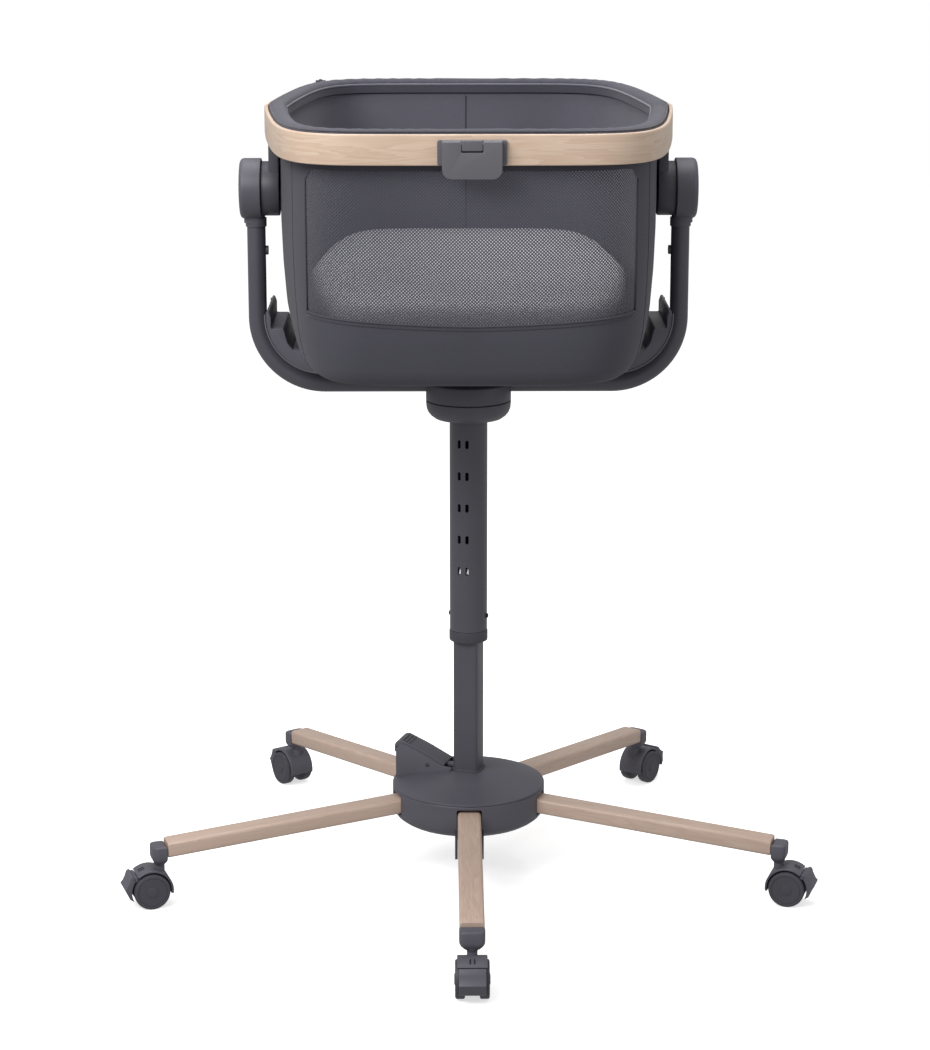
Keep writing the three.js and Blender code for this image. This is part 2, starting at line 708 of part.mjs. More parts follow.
// Plate with two prongs that face the slots.
function lockBoltGeometry() {
  const front = -Math.sqrt((mastInside - GAP) ** 2 - (SLOT_PAIR_SPACING / 2 + SLOT_WIDTH / 2) ** 2);
  let bolt = solid(
    box(-11, 11, -7, -2, SLOT_LOWEST - boltHalfHeight, SLOT_LOWEST + boltHalfHeight),
  );
  for (const side of [-1, 1]) {
    const middle = (side * SLOT_PAIR_SPACING) / 2;
    const half = SLOT_WIDTH / 2 - GAP;
    const prong = polygon([
      [-3, SLOT_LOWEST - boltHalfHeight],
      [-3, SLOT_LOWEST + boltHalfHeight],
      [front + 3, SLOT_LOWEST + boltHalfHeight],
      [front, SLOT_LOWEST - boltHalfHeight],
    ]);
    const bar = extrudedAlongX(prong, middle - half, middle + half);
    bolt = bolt.add(solid(bar));
  }
  return geometryOf(bolt);
}

function outerMastGeometry() {
  const tube = new THREE.Shape();
  tube.absarc(0, 0, OUTER_MAST_RADIUS, 0, Math.PI * 2, false);
  const inside = new THREE.Path();
  inside.absarc(0, 0, mastInside, 0, Math.PI * 2, true);
  tube.holes.push(inside);
  let mast = solid(extruded(tube, BUSH_BOTTOM + BUSH_COLLAR + GAP, mastTop, 14));
  for (let row = 0; row < SLOT_ROWS; row += 1) {
    for (const side of [-1, 1]) {
      const slot = roundedRectangle(SLOT_WIDTH, SLOT_HEIGHT, 1.2);
      const cutter = extrudedAlongY(slot, -OUTER_MAST_RADIUS - 5, -OUTER_MAST_RADIUS + 10, 1);
      cutter.translate((side * SLOT_PAIR_SPACING) / 2, 0, SLOT_LOWEST + row * SLOT_STEP);
      mast = mast.subtract(solid(cutter));
    }
  }
  for (const side of [-1, 1]) {
    const hole = cylinder(2, mastInside - 3, OUTER_MAST_RADIUS + 3, 12, "x");
    mast = mast.subtract(solid(hole.rotateZ(side > 0 ? 0 : Math.PI).translate(0, 0, rivetHeight)));
  }
  return geometryOf(mast);
}

const rivetHeight = BUSH_BOTTOM + BUSH_COLLAR + 20;

function rivetGeometry(side) {
  const shank = cylinder(1.7, mastInside + GAP, OUTER_MAST_RADIUS + 0.5, 12, "x");
  const head = cylinder(3.2, OUTER_MAST_RADIUS + GAP, OUTER_MAST_RADIUS + 2.4, 14, "x");
  const rivet = geometryOf(solid(shank).add(solid(head)));
  return rivet.rotateZ(side > 0 ? 0 : Math.PI).translate(0, 0, rivetHeight);
}

function bushGeometry() {
  const collar = cylinder(OUTER_MAST_RADIUS + 0.5, BUSH_BOTTOM, BUSH_BOTTOM + BUSH_COLLAR, 28);
  const sleeveTop = BUSH_BOTTOM + BUSH_COLLAR + BUSH_SLEEVE;
  const sleeve = cylinder(mastInside - GAP, BUSH_BOTTOM + 2, sleeveTop, 28);
  const hole = extruded(mastShape(GAP), BUSH_BOTTOM - 1, sleeveTop + 1);
  return geometryOf(solid(collar).add(solid(sleeve)).subtract(solid(hole)));
}

const cupTop = SWIVEL_BOTTOM + SWIVEL_CUP_HEIGHT;

function swivelCupGeometry() {
  return turned(
    [
      [OUTER_MAST_RADIUS + GAP, SWIVEL_BOTTOM - 0.5],
      [SWIVEL_RADIUS * 0.72, SWIVEL_BOTTOM + 0.5],
      [SWIVEL_RADIUS * 0.89, SWIVEL_BOTTOM + 5.5],
      [SWIVEL_RADIUS * 0.98, SWIVEL_BOTTOM + 14],
      [SWIVEL_RADIUS, cupTop],
      [SWIVEL_PIN_RADIUS + GAP, cupTop],
      [SWIVEL_PIN_RADIUS + GAP, mastTop + GAP],
      [OUTER_MAST_RADIUS + GAP, mastTop + GAP],
      [OUTER_MAST_RADIUS + GAP, SWIVEL_BOTTOM - 0.5],
    ],
    28,
  );
}

const pinTop = FORK_BAR_HEIGHT - FORK_TUBE_RADIUS - 2.5;

function swivelPinGeometry() {
  const head = cylinder(SWIVEL_PIN_RADIUS + 6, mastTop - 8, mastTop, 20);
  const shaft = cylinder(SWIVEL_PIN_RADIUS, mastTop - 4, pinTop, 20);
  return geometryOf(solid(head).add(solid(shaft)));
}

function innerColumn() {
  const group = new THREE.Group();
  group.rotation.z = radians(COLUMN_TURN);
  group.add(piece("inner_mast", innerMastGeometry(), "paintedSteel"));
  group.add(piece("inner_mast_glide", innerGlideGeometry(), "darkPlastic"));
  group.add(piece("pull_rod", pullRodGeometry(), "steel"));
  group.add(piece("lock_bolt", lockBoltGeometry(), "steel"));
  return group;
}

function outerColumn() {
  const group = new THREE.Group();
  group.rotation.z = radians(COLUMN_TURN);
  group.add(piece("outer_mast", outerMastGeometry(), "paintedSteel"));
  group.add(piece("mast_bush", bushGeometry(), "plastic"));
  group.add(piece("mast_rivet_right", rivetGeometry(1), "darkPlastic"));
  group.add(piece("mast_rivet_left", rivetGeometry(-1), "darkPlastic"));
  group.add(piece("swivel_cup", swivelCupGeometry(), "plastic"));
  group.add(piece("swivel_pin", swivelPinGeometry(), "steel"));
  return group;
}

// ---------------------------------------------------------------- pedal

// Drawn with +X pointing from the column out along the pedal.
const pedalHalf = PEDAL_WIDTH / 2;
const housingHalf = pedalHalf + 0.5 + PEDAL_HOUSING_WALL;
const skirtInside = PEDAL_TIP_REACH - 2.5;

function pedalGeometry() {
  const px = PEDAL_PIVOT_REACH;
  const pz = PEDAL_PIVOT_HEIGHT;
  const plate = polygon([
    [px - 5, pz - 4.5],
    [px + 5, pz - 4],
    [px + 9, pz + 5],
    [px + 24, pz + 13],
    [px + 38, pz + 20],
    [skirtInside, pz + 20.5],
    [skirtInside, pz + 13],
    [PEDAL_TIP_REACH, pz + 13],
    [PEDAL_TIP_REACH, pz + 23],
    [PEDAL_TIP_REACH - 3, pz + 28],
    [PEDAL_TIP_REACH - 9, pz + 30],
    [px + 28, pz + 25.5],
    [px + 10, pz + 18],
    [px - 7, pz + 9.5],
    [px - 23, pz + 1.5],
    [px - 23, pz - 1],
    [px - 10, pz - 1],
  ]);
  const tail = polygon([
    [PEDAL_TAIL_REACH, pedalTailHeight - 0.5],
    [px, pedalTailHeight - 0.5],
    [px, PEDAL_PIVOT_HEIGHT + 2],
    [20, pedalTailHeight + 3.5],
    [PEDAL_TAIL_REACH, pedalTailHeight + 3],
  ]);
  const body = solid(extrudedAlongY(plate, -pedalHalf, pedalHalf));
  const whole = body.add(solid(extrudedAlongY(tail, -5, 5)));
  const bore = cylinder(PEDAL_PIN_RADIUS + RUNNING_GAP, -housingHalf, housingHalf, 16, "y");
  return geometryOf(whole.subtract(solid(bore.translate(px, 0, pz))));
}

function pedalHousingGeometry() {
  const px = PEDAL_PIVOT_REACH;
  const pz = PEDAL_PIVOT_HEIGHT;
  const wallEnd = skirtInside - 0.5;
  const sides = polygon([
    [INNER_MAST_SIDE / 2 + 1.5, HUB_SEAM],
    [wallEnd, HUB_SEAM],
    [wallEnd, pz + 19.5],
    [wallEnd - 8, pz + 26],
    [px + 28, pz + 23.5],
    [px + 10, pz + 16],
    [px - 7, pz + 7.5],
    [px - 23, pz - 0.5],
    [INNER_MAST_SIDE / 2 + 1.5, pz - 1],
  ]);
  const cavityTop = pz + 60;
  const cavity = box(0, wallEnd - PEDAL_HOUSING_WALL, -pedalHalf - 0.5, pedalHalf + 0.5, 0, cavityTop);
  const overWall = box(0, PEDAL_TIP_REACH, -pedalHalf - 0.5, pedalHalf + 0.5, pz + 11, cavityTop);
  const dome = [[0, 0], [HUB_RADIUS + GAP, 0], ...domeProfile(GAP)];
  const pinHole = cylinder(PEDAL_PIN_RADIUS + GAP, -housingHalf - 1, housingHalf + 1, 16, "y");
  let housing = solid(extrudedAlongY(sides, -housingHalf, housingHalf));
  housing = housing.subtract(solid(cavity)).subtract(solid(overWall));
  housing = housing.subtract(solid(turned(dome, HUB_SIDES)));
  housing = housing.subtract(solid(pinHole.translate(px, 0, pz)));
  return geometryOf(housing);
}

function pedalPinGeometry() {
  const pin = cylinder(PEDAL_PIN_RADIUS, -housingHalf - 0.5, housingHalf + 0.5, 16, "y");
  return pin.translate(PEDAL_PIVOT_REACH, 0, PEDAL_PIVOT_HEIGHT);
}

function pedal() {
  const group = new THREE.Group();
  group.rotation.z = radians(180 + COLUMN_TURN);
  group.add(piece("pedal_housing", pedalHousingGeometry(), "plastic"));
  group.add(piece("foot_pedal", pedalGeometry(), "plastic"));
  group.add(piece("pedal_pin", pedalPinGeometry(), "darkPlastic"));
  return group;
}

// ---------------------------------------------------------------- fork

const hubInner = FORK_ARM_X - 8; // inner face of the outer pivot hub
const hubOuter = hubInner + PIVOT_HUB_WIDTH;
const armTop = PIVOT_HEIGHT - PIVOT_DRUM_RADIUS - 2;
const collarBottom = armTop - PIVOT_COLLAR_LENGTH;

// Centre line of the bent tube: down one arm, along the bar, up the other arm.
class ForkLine extends THREE.Curve {
  constructor() {
    super();
    const bendHeight = FORK_BAR_HEIGHT + FORK_BEND_RADIUS;
    this.arm = armTop - bendHeight;
    this.bend = (FORK_BEND_RADIUS * Math.PI) / 2;
    this.half = FORK_ARM_X - FORK_BEND_RADIUS;
    this.halfLength = this.arm + this.bend + this.half;
  }

  // "run" is measured from the middle of the bar, towards +X when positive.
  at(run) {
    const side = Math.sign(run) || 1;
    const distance = Math.abs(run);
    if (distance <= this.half) {
      return new THREE.Vector3(side * distance, 0, FORK_BAR_HEIGHT);
    }
    if (distance <= this.half + this.bend) {
      const turn = (distance - this.half) / FORK_BEND_RADIUS;
      const x = this.half + FORK_BEND_RADIUS * Math.sin(turn);
      const z = FORK_BAR_HEIGHT + FORK_BEND_RADIUS * (1 - Math.cos(turn));
      return new THREE.Vector3(side * x, 0, z);
    }
    const up = distance - this.half - this.bend;
    return new THREE.Vector3(side * FORK_ARM_X, 0, FORK_BAR_HEIGHT + FORK_BEND_RADIUS + up);
  }

  getPoint(t, target = new THREE.Vector3()) {
    return target.copy(this.at((2 * t - 1) * this.halfLength));
  }
}

function forkTubeGeometry() {
  const shape = new THREE.Shape();
  shape.absarc(0, 0, FORK_TUBE_RADIUS, 0, Math.PI * 2, false);
  const inside = new THREE.Path();
  inside.absarc(0, 0, FORK_TUBE_RADIUS - FORK_TUBE_WALL, 0, Math.PI * 2, true);
  shape.holes.push(inside);
  return new THREE.ExtrudeGeometry(shape, {
    steps: 32,
    curveSegments: 5,
    extrudePath: new ForkLine(),
    bevelEnabled: false,
  });
}

function saddleGeometry() {
  const round = cylinder(SWIVEL_RADIUS, cupTop + 0.6, FORK_BAR_HEIGHT + 1, 28);
  const ridge = box(-35, 35, -16, 16, FORK_BAR_HEIGHT - 4, FORK_BAR_HEIGHT + FORK_TUBE_RADIUS + 3);
  const bore = cylinder(FORK_TUBE_RADIUS + GAP, -SWIVEL_RADIUS - 5, SWIVEL_RADIUS + 5, 24, "x");
  const pinBore = cylinder(SWIVEL_PIN_RADIUS + RUNNING_GAP, cupTop - 5, pinTop + 0.4, 20);
  const saddle = solid(round)
    .add(solid(ridge))
    .subtract(solid(bore.translate(0, 0, FORK_BAR_HEIGHT)))
    .subtract(solid(pinBore));
  return geometryOf(saddle);
}

// Everything on one side is drawn for +X and turned half round for the other side.
function pivotHubGeometry() {
  const drum = turned(
    [
      [0, hubInner],
      [PIVOT_HUB_RADIUS - 0.5, hubInner],
      [PIVOT_HUB_RADIUS, hubInner + 1],
      [PIVOT_HUB_RADIUS, hubOuter - 5],
      [PIVOT_HUB_RADIUS - 1.5, hubOuter - 2],
      [PIVOT_HUB_RADIUS - 5, hubOuter - 0.5],
      [0, hubOuter],
    ],
    24,
  );
  drum.rotateY(Math.PI / 2).translate(0, 0, PIVOT_HEIGHT);
  const collar = cylinder(FORK_TUBE_RADIUS + 1.5, collarBottom, armTop - 1, 20);
  const neck = box(hubInner, hubInner + 20, -12, 12, armTop - 5, PIVOT_HEIGHT - 20);
  const socket = cylinder(FORK_TUBE_RADIUS + GAP, collarBottom - 1, armTop + GAP, 20);
  const boreEnd = hubInner + PIVOT_SHAFT_LENGTH + 1;
  const bore = cylinder(PIVOT_SHAFT_RADIUS + RUNNING_GAP, hubInner - 2, boreEnd, 16, "x");
  const hub = solid(drum)
    .add(solid(collar.translate(FORK_ARM_X, 0, 0)))
    .add(solid(neck))
    .subtract(solid(socket.translate(FORK_ARM_X, 0, 0)))
    .subtract(solid(bore.translate(0, 0, PIVOT_HEIGHT)));
  return geometryOf(hub);
}

function bothSides(name, geometry, finish, group) {
  group.add(piece(`${name}_right`, geometry, finish));
  group.add(piece(`${name}_left`, geometry.clone().rotateZ(Math.PI), finish));
}

function fork() {
  const group = new THREE.Group();
  group.add(piece("fork_tube", forkTubeGeometry(), "paintedSteel"));
  group.add(piece("fork_saddle", saddleGeometry(), "plastic"));
  bothSides("pivot_hub", pivotHubGeometry(), "plastic", group);
  return group;
}

// ---------------------------------------------------------------- tub

const bandTop = BAND_BOTTOM + BAND_HEIGHT;
const frameBottom = BAND_BOTTOM + 2;
const frameTop = frameBottom + FRAME_HEIGHT;
const frameInset = BAND_THICKNESS + GAP;
const tubBottom = BAND_BOTTOM - TUB_DEPTH;
const wallTop = frameTop - 1;

function bandGeometry() {
  return planBand([
    [1.5, BAND_BOTTOM],
    [0, BAND_BOTTOM + 1.5],
    [0, bandTop - 2],
    [2, bandTop],
    [BAND_THICKNESS, bandTop],
    [BAND_THICKNESS, BAND_BOTTOM],
  ]);
}

function rimFrameGeometry() {
  const inner = frameInset + FRAME_WIDTH;
  return planBand([
    [frameInset, frameBottom],
    [frameInset, frameTop],
    [inner, frameTop],
    [inner, frameBottom],
  ]);
}

function rimPadGeometry() {
  const outer = BAND_THICKNESS + 0.5;
  const inner = outer + PAD_WIDTH;
  const low = frameTop + GAP;
  const top = bandTop + PAD_RISE;
  return planBand([
    [outer, low],
    [outer, top - 6],
    [outer + 5, top],
    [outer + 15, top - 1],
    [inner, top - 9],
    [inner - 1, low],
  ]);
}

// Outside of the cloth wall as [inset, height above the tub's bottom], bottom first.
const wallOutline = [
  [70, 0],
  [52, 2],
  [41, 9],
  [34, 20],
  [29, 38],
  [25, 60],
  [21.5, 105],
  [TUB_INSET, 160],
  [TUB_INSET, wallTop - tubBottom],
];

function tubWall() {
  const outside = wallOutline.map(([inset, rise]) => planRing(inset, tubBottom + rise));
  const inside = wallOutline.map(([inset, rise], i) => {
    const height = i === wallOutline.length - 1 ? tubBottom + rise : tubBottom + rise + TUB_WALL;
    return planRing(inset + TUB_WALL, height);
  });
  return solid(skin([...outside, ...inside.reverse()], false));
}

function windowCutter(shrink) {
  const half = WINDOW_HALF_WIDTH - shrink;
  const low = tubBottom + WINDOW_BOTTOM + shrink;
  const side = low + WINDOW_SIDE_RISE;
  const top = BAND_BOTTOM - WINDOW_TOP - shrink;
  const corner = 14;
  const shape = new THREE.Shape();
  shape.moveTo(-half, side);
  shape.quadraticCurveTo(-half / 2, low, 0, low);
  shape.quadraticCurveTo(half / 2, low, half, side);
  shape.lineTo(half, top - corner);
  shape.quadraticCurveTo(half, top, half - corner, top);
  shape.lineTo(-half + corner, top);
  shape.quadraticCurveTo(-half, top, -half, top - corner);
  return solid(extrudedAlongY(shape, -RIM_HALF_LENGTH - 10, -RIM_HALF_LENGTH * 0.45, 6));
}

function mattressGeometry() {
  const bottom = tubBottom + TUB_WALL + MATTRESS_TRAY_HEIGHT + 2 * GAP;
  const top = bottom + MATTRESS_THICKNESS;
  const section = [
    [8, bottom],
    [0, bottom + 8],
    [0, top - 16],
    [4, top - 6],
    [16, top],
  ];
  const rings = section.map(([inset, z]) =>
    planRing(inset, z, MATTRESS_HALF_WIDTH, MATTRESS_HALF_LENGTH),
  );
  return skin(rings, false);
}

// Inverted tray that carries the mattress, open underneath.
function mattressTrayGeometry() {
  const floor = tubBottom + TUB_WALL + GAP;
  const top = floor + MATTRESS_TRAY_HEIGHT;
  const wall = 3;
  const inset = 66;
  const rings = [
    planRing(inset + 14 + wall, top - wall),
    planRing(inset + 14 + wall, floor),
    planRing(inset + 14, floor),
    planRing(inset + 14, top),
  ];
  return skin(rings, false);
}

// Cradle under the tub: its ends curl up between the tub and the bends of the fork.
function cradleGeometry() {
  const bendX = FORK_ARM_X - FORK_BEND_RADIUS;
  const outerRadius = FORK_BEND_RADIUS - FORK_TUBE_RADIUS - 2;
  const centre = FORK_BAR_HEIGHT + FORK_BEND_RADIUS + 12;
  const side = bendX + outerRadius;
  const shelf = centre - 16;
  const hookTop = shelf + 22;
  const seat = tubBottom - 1.5;
  const rightEnd = [
    [side, hookTop - 6],
    [side - 1.5, hookTop],
    [side - 4.5, hookTop],
    [side - 7, hookTop - 7],
    [side - 7, shelf],
    [side - 23, shelf],
    [side - 28, seat + 8],
    [side - 35, seat],
  ];
  const outline = new THREE.Shape();
  outline.moveTo(-bendX, centre - outerRadius);
  outline.lineTo(bendX, centre - outerRadius);
  outline.absarc(bendX, centre, outerRadius, -Math.PI / 2, 0, false);
  rightEnd.forEach(([x, z]) => outline.lineTo(x, z));
  [...rightEnd].reverse().forEach(([x, z]) => outline.lineTo(-x, z));
  outline.absarc(-bendX, centre, outerRadius, Math.PI, Math.PI * 1.5, false);
  const hollow = new THREE.Path();
  const low = centre - outerRadius + CRADLE_WALL;
  const high = seat - CRADLE_WALL;
  hollow.moveTo(-bendX, low);
  hollow.lineTo(bendX, low);
  hollow.lineTo(bendX + 20, high);
  hollow.lineTo(-bendX - 20, high);
  outline.holes.push(hollow);
  return extrudedAlongY(outline, -CRADLE_HALF_DEPTH, CRADLE_HALF_DEPTH, 6);
}

function pivotEarGeometry() {
  const inner = RIM_HALF_WIDTH - TUB_INSET + 0.7;
  const plateOuter = RIM_HALF_WIDTH - BAND_THICKNESS - GAP - 0.2;
  const drum = cylinder(PIVOT_DRUM_RADIUS, inner, hubInner - GAP, 32, "x");
  const shaft = cylinder(PIVOT_SHAFT_RADIUS, hubInner - 2, hubInner + PIVOT_SHAFT_LENGTH, 16, "x");
  const plate = box(inner, plateOuter, -26, 26, PIVOT_HEIGHT, BAND_BOTTOM - GAP);
  const ear = solid(drum)
    .add(solid(shaft))
    .translate([0, 0, PIVOT_HEIGHT])
    .add(solid(plate));
  return geometryOf(ear);
}

const clipBack = -RIM_HALF_LENGTH - GAP;
const clipFront = clipBack - CLIP_PLATE_THICKNESS;
const clipAxis = { y: clipFront - CLIP_FLAP_THICKNESS - 0.5, z: bandTop - 10 };
const clipKnuckle = CLIP_FLAP_THICKNESS;

function clipPlateGeometry() {
  const low = BAND_BOTTOM + 1;
  const top = bandTop - 6;
  const plate = box(-CLIP_WIDTH / 2, CLIP_WIDTH / 2, clipFront, clipBack, low, top);
  const blockHalf = CLIP_BLOCK_WIDTH / 2;
  const block = box(
    -blockHalf,
    blockHalf,
    clipAxis.y - clipKnuckle,
    clipFront + 1,
    clipAxis.z - 8,
    top,
  );
  const bore = cylinder(CLIP_PIN_RADIUS + GAP, -CLIP_WIDTH, CLIP_WIDTH, 12, "x");
  bore.translate(0, clipAxis.y, clipAxis.z);
  return geometryOf(solid(plate).add(solid(block)).subtract(solid(bore)));
}

function clipFlapGeometry() {
  const half = CLIP_FLAP_WIDTH / 2;
  const corner = 13;
  const top = clipAxis.z;
  const bottom = top + clipKnuckle - CLIP_FLAP_HEIGHT;
  const shape = new THREE.Shape();
  shape.moveTo(-half, top);
  shape.lineTo(-half, bottom + corner);
  shape.absarc(-half + corner, bottom + corner, corner, Math.PI, Math.PI * 1.5, false);
  shape.lineTo(half - corner, bottom);
  shape.absarc(half - corner, bottom + corner, corner, -Math.PI / 2, 0, false);
  shape.lineTo(half, top);
  const outerFace = clipAxis.y - clipKnuckle;
  const slab = extrudedAlongY(shape, outerFace, outerFace + CLIP_FLAP_THICKNESS, 5);
  const barrel = cylinder(clipKnuckle, -half, half, 16, "x").translate(0, clipAxis.y, clipAxis.z);
  const notchHalf = CLIP_BLOCK_WIDTH / 2 + 0.5;
  const notch = box(-notchHalf, notchHalf, outerFace - 1, clipFront, clipAxis.z - 9.5, clipAxis.z + 8);
  const bore = cylinder(CLIP_PIN_RADIUS + RUNNING_GAP, -CLIP_WIDTH, CLIP_WIDTH, 12, "x");
  bore.translate(0, clipAxis.y, clipAxis.z);
  const flap = solid(slab).add(solid(barrel)).subtract(solid(notch)).subtract(solid(bore));
  return geometryOf(flap);
}

function clipPinGeometry() {
  const half = CLIP_FLAP_WIDTH / 2;
  return cylinder(CLIP_PIN_RADIUS, -half, half, 12, "x").translate(0, clipAxis.y, clipAxis.z);
}

function tub() {
  const group = new THREE.Group();
  const wall = tubWall();
  group.add(piece("tub_shell", geometryOf(wall.subtract(windowCutter(0))), "fabric"));
  group.add(piece("mesh_window", geometryOf(wall.intersect(windowCutter(GAP))), "mesh"));
  group.add(piece("rim_frame", rimFrameGeometry(), "paintedSteel"));
  group.add(piece("rim_band", bandGeometry(), "woodPrint"));
  group.add(piece("rim_pad", rimPadGeometry(), "fabric"));
  group.add(piece("mattress", mattressGeometry(), "mattress"));
  group.add(piece("mattress_tray", mattressTrayGeometry(), "darkPlastic"));
  group.add(piece("cradle", cradleGeometry(), "plastic"));
  group.add(piece("clip_plate", clipPlateGeometry(), "clip"));
  group.add(piece("clip_flap", clipFlapGeometry(), "clip"));
  group.add(piece("clip_pin", clipPinGeometry(), "steel"));
  bothSides("pivot_ear", pivotEarGeometry(), "plastic", group);
  return group;
}

// ---------------------------------------------------------------- assembly

const stand = new THREE.Group();
stand.add(base());
stand.add(innerColumn());
stand.add(pedal());
stand.add(outerColumn());
stand.add(fork());
stand.add(tub());

const bounds = new THREE.Box3().setFromObject(stand, true);
stand.position.y = -(bounds.min.y + bounds.max.y) / 2;

export default stand;
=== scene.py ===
"""Bassinet on a height-adjustable swivel stand: the looks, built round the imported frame.

Units are metres. Sizes are written in millimetres and turned to metres by MM.
Every shape is worked out as whole numpy arrays: rings of points that are skinned.
"""

import math

import bpy
import numpy as np
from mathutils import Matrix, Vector


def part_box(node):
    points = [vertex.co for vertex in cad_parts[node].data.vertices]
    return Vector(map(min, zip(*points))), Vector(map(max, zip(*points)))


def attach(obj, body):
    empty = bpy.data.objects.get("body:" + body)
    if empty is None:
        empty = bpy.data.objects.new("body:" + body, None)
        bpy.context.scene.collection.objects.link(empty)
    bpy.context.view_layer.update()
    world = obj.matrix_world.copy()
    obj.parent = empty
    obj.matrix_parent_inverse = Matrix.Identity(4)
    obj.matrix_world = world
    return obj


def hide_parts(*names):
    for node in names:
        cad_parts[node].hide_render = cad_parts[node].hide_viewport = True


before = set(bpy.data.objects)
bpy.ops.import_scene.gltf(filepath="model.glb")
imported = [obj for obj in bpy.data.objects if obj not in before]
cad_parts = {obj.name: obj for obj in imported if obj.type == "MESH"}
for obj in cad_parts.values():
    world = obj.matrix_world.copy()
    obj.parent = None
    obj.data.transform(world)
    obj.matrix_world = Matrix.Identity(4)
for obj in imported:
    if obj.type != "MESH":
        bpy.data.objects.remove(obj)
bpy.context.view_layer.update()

MM = 0.001
SHARP = 38.0  # degrees between two faces from which their edge is drawn sharp


# ---- places taken from the frame

rod_low, rod_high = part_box("pull_rod")
AXIS_Y = (rod_low.y + rod_high.y) / 2
COLUMN_TURN = math.radians(-18)
LEG_COUNT = 5


def leg_angle(number):
    """Direction of leg 1..5 about the column, the first towards the foot end."""
    return math.radians(-90 + 72 * (number - 1))


def turned_about_column(points, angle):
    """Points drawn round the origin, turned about Z and carried to the column's axis."""
    points = np.asarray(points, float)
    c, s = math.cos(angle), math.sin(angle)
    x = points[..., 0] * c - points[..., 1] * s
    y = points[..., 0] * s + points[..., 1] * c + AXIS_Y
    return np.stack([x, y, points[..., 2]], -1)


# ---- mesh helpers

UP, ALONG_Y = np.array([0.0, 0.0, 1.0]), np.array([0.0, 1.0, 0.0])


def skin_faces(ring_count, ring_size, loop):
    """Quads between each ring and the next; the ring closes on itself, and so does the run if loop."""
    spans = ring_count if loop else ring_count - 1
    i, j = np.meshgrid(np.arange(spans), np.arange(ring_size), indexing="ij")
    here, over = i * ring_size, ((i + 1) % ring_count) * ring_size
    k = (j + 1) % ring_size
    return np.stack([here + j, here + k, over + k, over + j], -1).reshape(-1, 4)


def patch_faces(rows, columns):
    """Quads of an open grid of rows by columns."""
    i, j = np.meshgrid(np.arange(rows - 1), np.arange(columns - 1), indexing="ij")
    a = i * columns + j
    return np.stack([a, a + 1, a + columns + 1, a + columns], -1).reshape(-1, 4)


def volume_of(points, quads):
    """Six times the signed volume that the quads enclose, positive when they face outwards."""
    a, b, c, d = (points[quads[:, n]] for n in range(4))
    return float((a * np.cross(b, c)).sum() + (a * np.cross(c, d)).sum())


def finish_piece(name, points, faces, material, body, stands_for=(), sharp=SHARP, uv=None):
    """Put points and faces in a mesh, smooth but for edges past the sharp angle, and ride it on a body.

    The piece's name ends in _skin, so that it never meets the name of a frame node."""
    name = name.replace(" ", "_") + "_skin"
    mesh = bpy.data.meshes.new(name)
    mesh.from_pydata(np.asarray(points, float).tolist(), [], [list(f) for f in faces])
    sides = np.zeros(len(mesh.polygons), np.int32)
    mesh.polygons.foreach_get("loop_total", sides)
    mesh.polygons.foreach_set("use_smooth", sides <= 4)
    if uv is not None:
        layer = mesh.uv_layers.new(name="along")
        corner = np.zeros(len(mesh.loops), np.int32)
        mesh.loops.foreach_get("vertex_index", corner)
        layer.data.foreach_set("uv", np.asarray(uv, np.float32)[corner].ravel())
    mesh.update()
    if sharp is not None:
        mesh.set_sharp_from_angle(angle=math.radians(sharp))
    mesh.materials.append(material)
    piece = bpy.data.objects.new(name, mesh)
    bpy.context.scene.collection.objects.link(piece)
    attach(piece, body)
    if stands_for:
        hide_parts(*stands_for)
    return piece


def shell_of(rings, loop=False):
    """The points and outward faces of a skin over rings, with no object made."""
    rings = np.asarray(rings, float)
    count, size = rings.shape[:2]
    points = rings.reshape(-1, 3)
    quads = skin_faces(count, size, loop)
    ends = []
    total = volume_of(points, quads)
    if not loop:
        ends = [list(range(size))[::-1], list(range((count - 1) * size, count * size))]
        for ring in ends:
            spot = points[ring]
            total += float((spot.mean(0) * np.cross(spot, np.roll(spot, -1, 0))).sum())
    if total < 0:
        quads = quads[:, ::-1]
        ends = [end[::-1] for end in ends]
    return points, quads.tolist() + ends


def skinned(name, rings, material, body, stands_for=(), loop=False, sharp=SHARP, uv=None):
    """A closed skin over rings of equal length, flat polygons at both ends unless it loops."""
    points, faces = shell_of(rings, loop)
    return finish_piece(name, points, faces, material, body, stands_for, sharp, uv)


def thickened(piece, thickness):
    """Give an open shell its thickness inwards at once, and mark its sharp edges afterwards."""
    wall = piece.modifiers.new("wall", "SOLIDIFY")
    wall.thickness, wall.offset = thickness * MM, -1
    seen = piece.evaluated_get(bpy.context.evaluated_depsgraph_get())
    solid = bpy.data.meshes.new_from_object(seen)
    piece.modifiers.clear()
    piece.data = solid
    solid.set_sharp_from_angle(angle=math.radians(SHARP))


def joined(name, parts, material, body, stands_for=(), sharp=SHARP):
    """One piece from several closed shells, each a pair of points and faces."""
    points, faces, base = [], [], 0
    for part_points, part_faces in parts:
        points.append(np.asarray(part_points, float))
        faces += [[v + base for v in f] for f in part_faces]
        base += len(part_points)
    return finish_piece(name, np.concatenate(points), faces, material, body, stands_for, sharp)


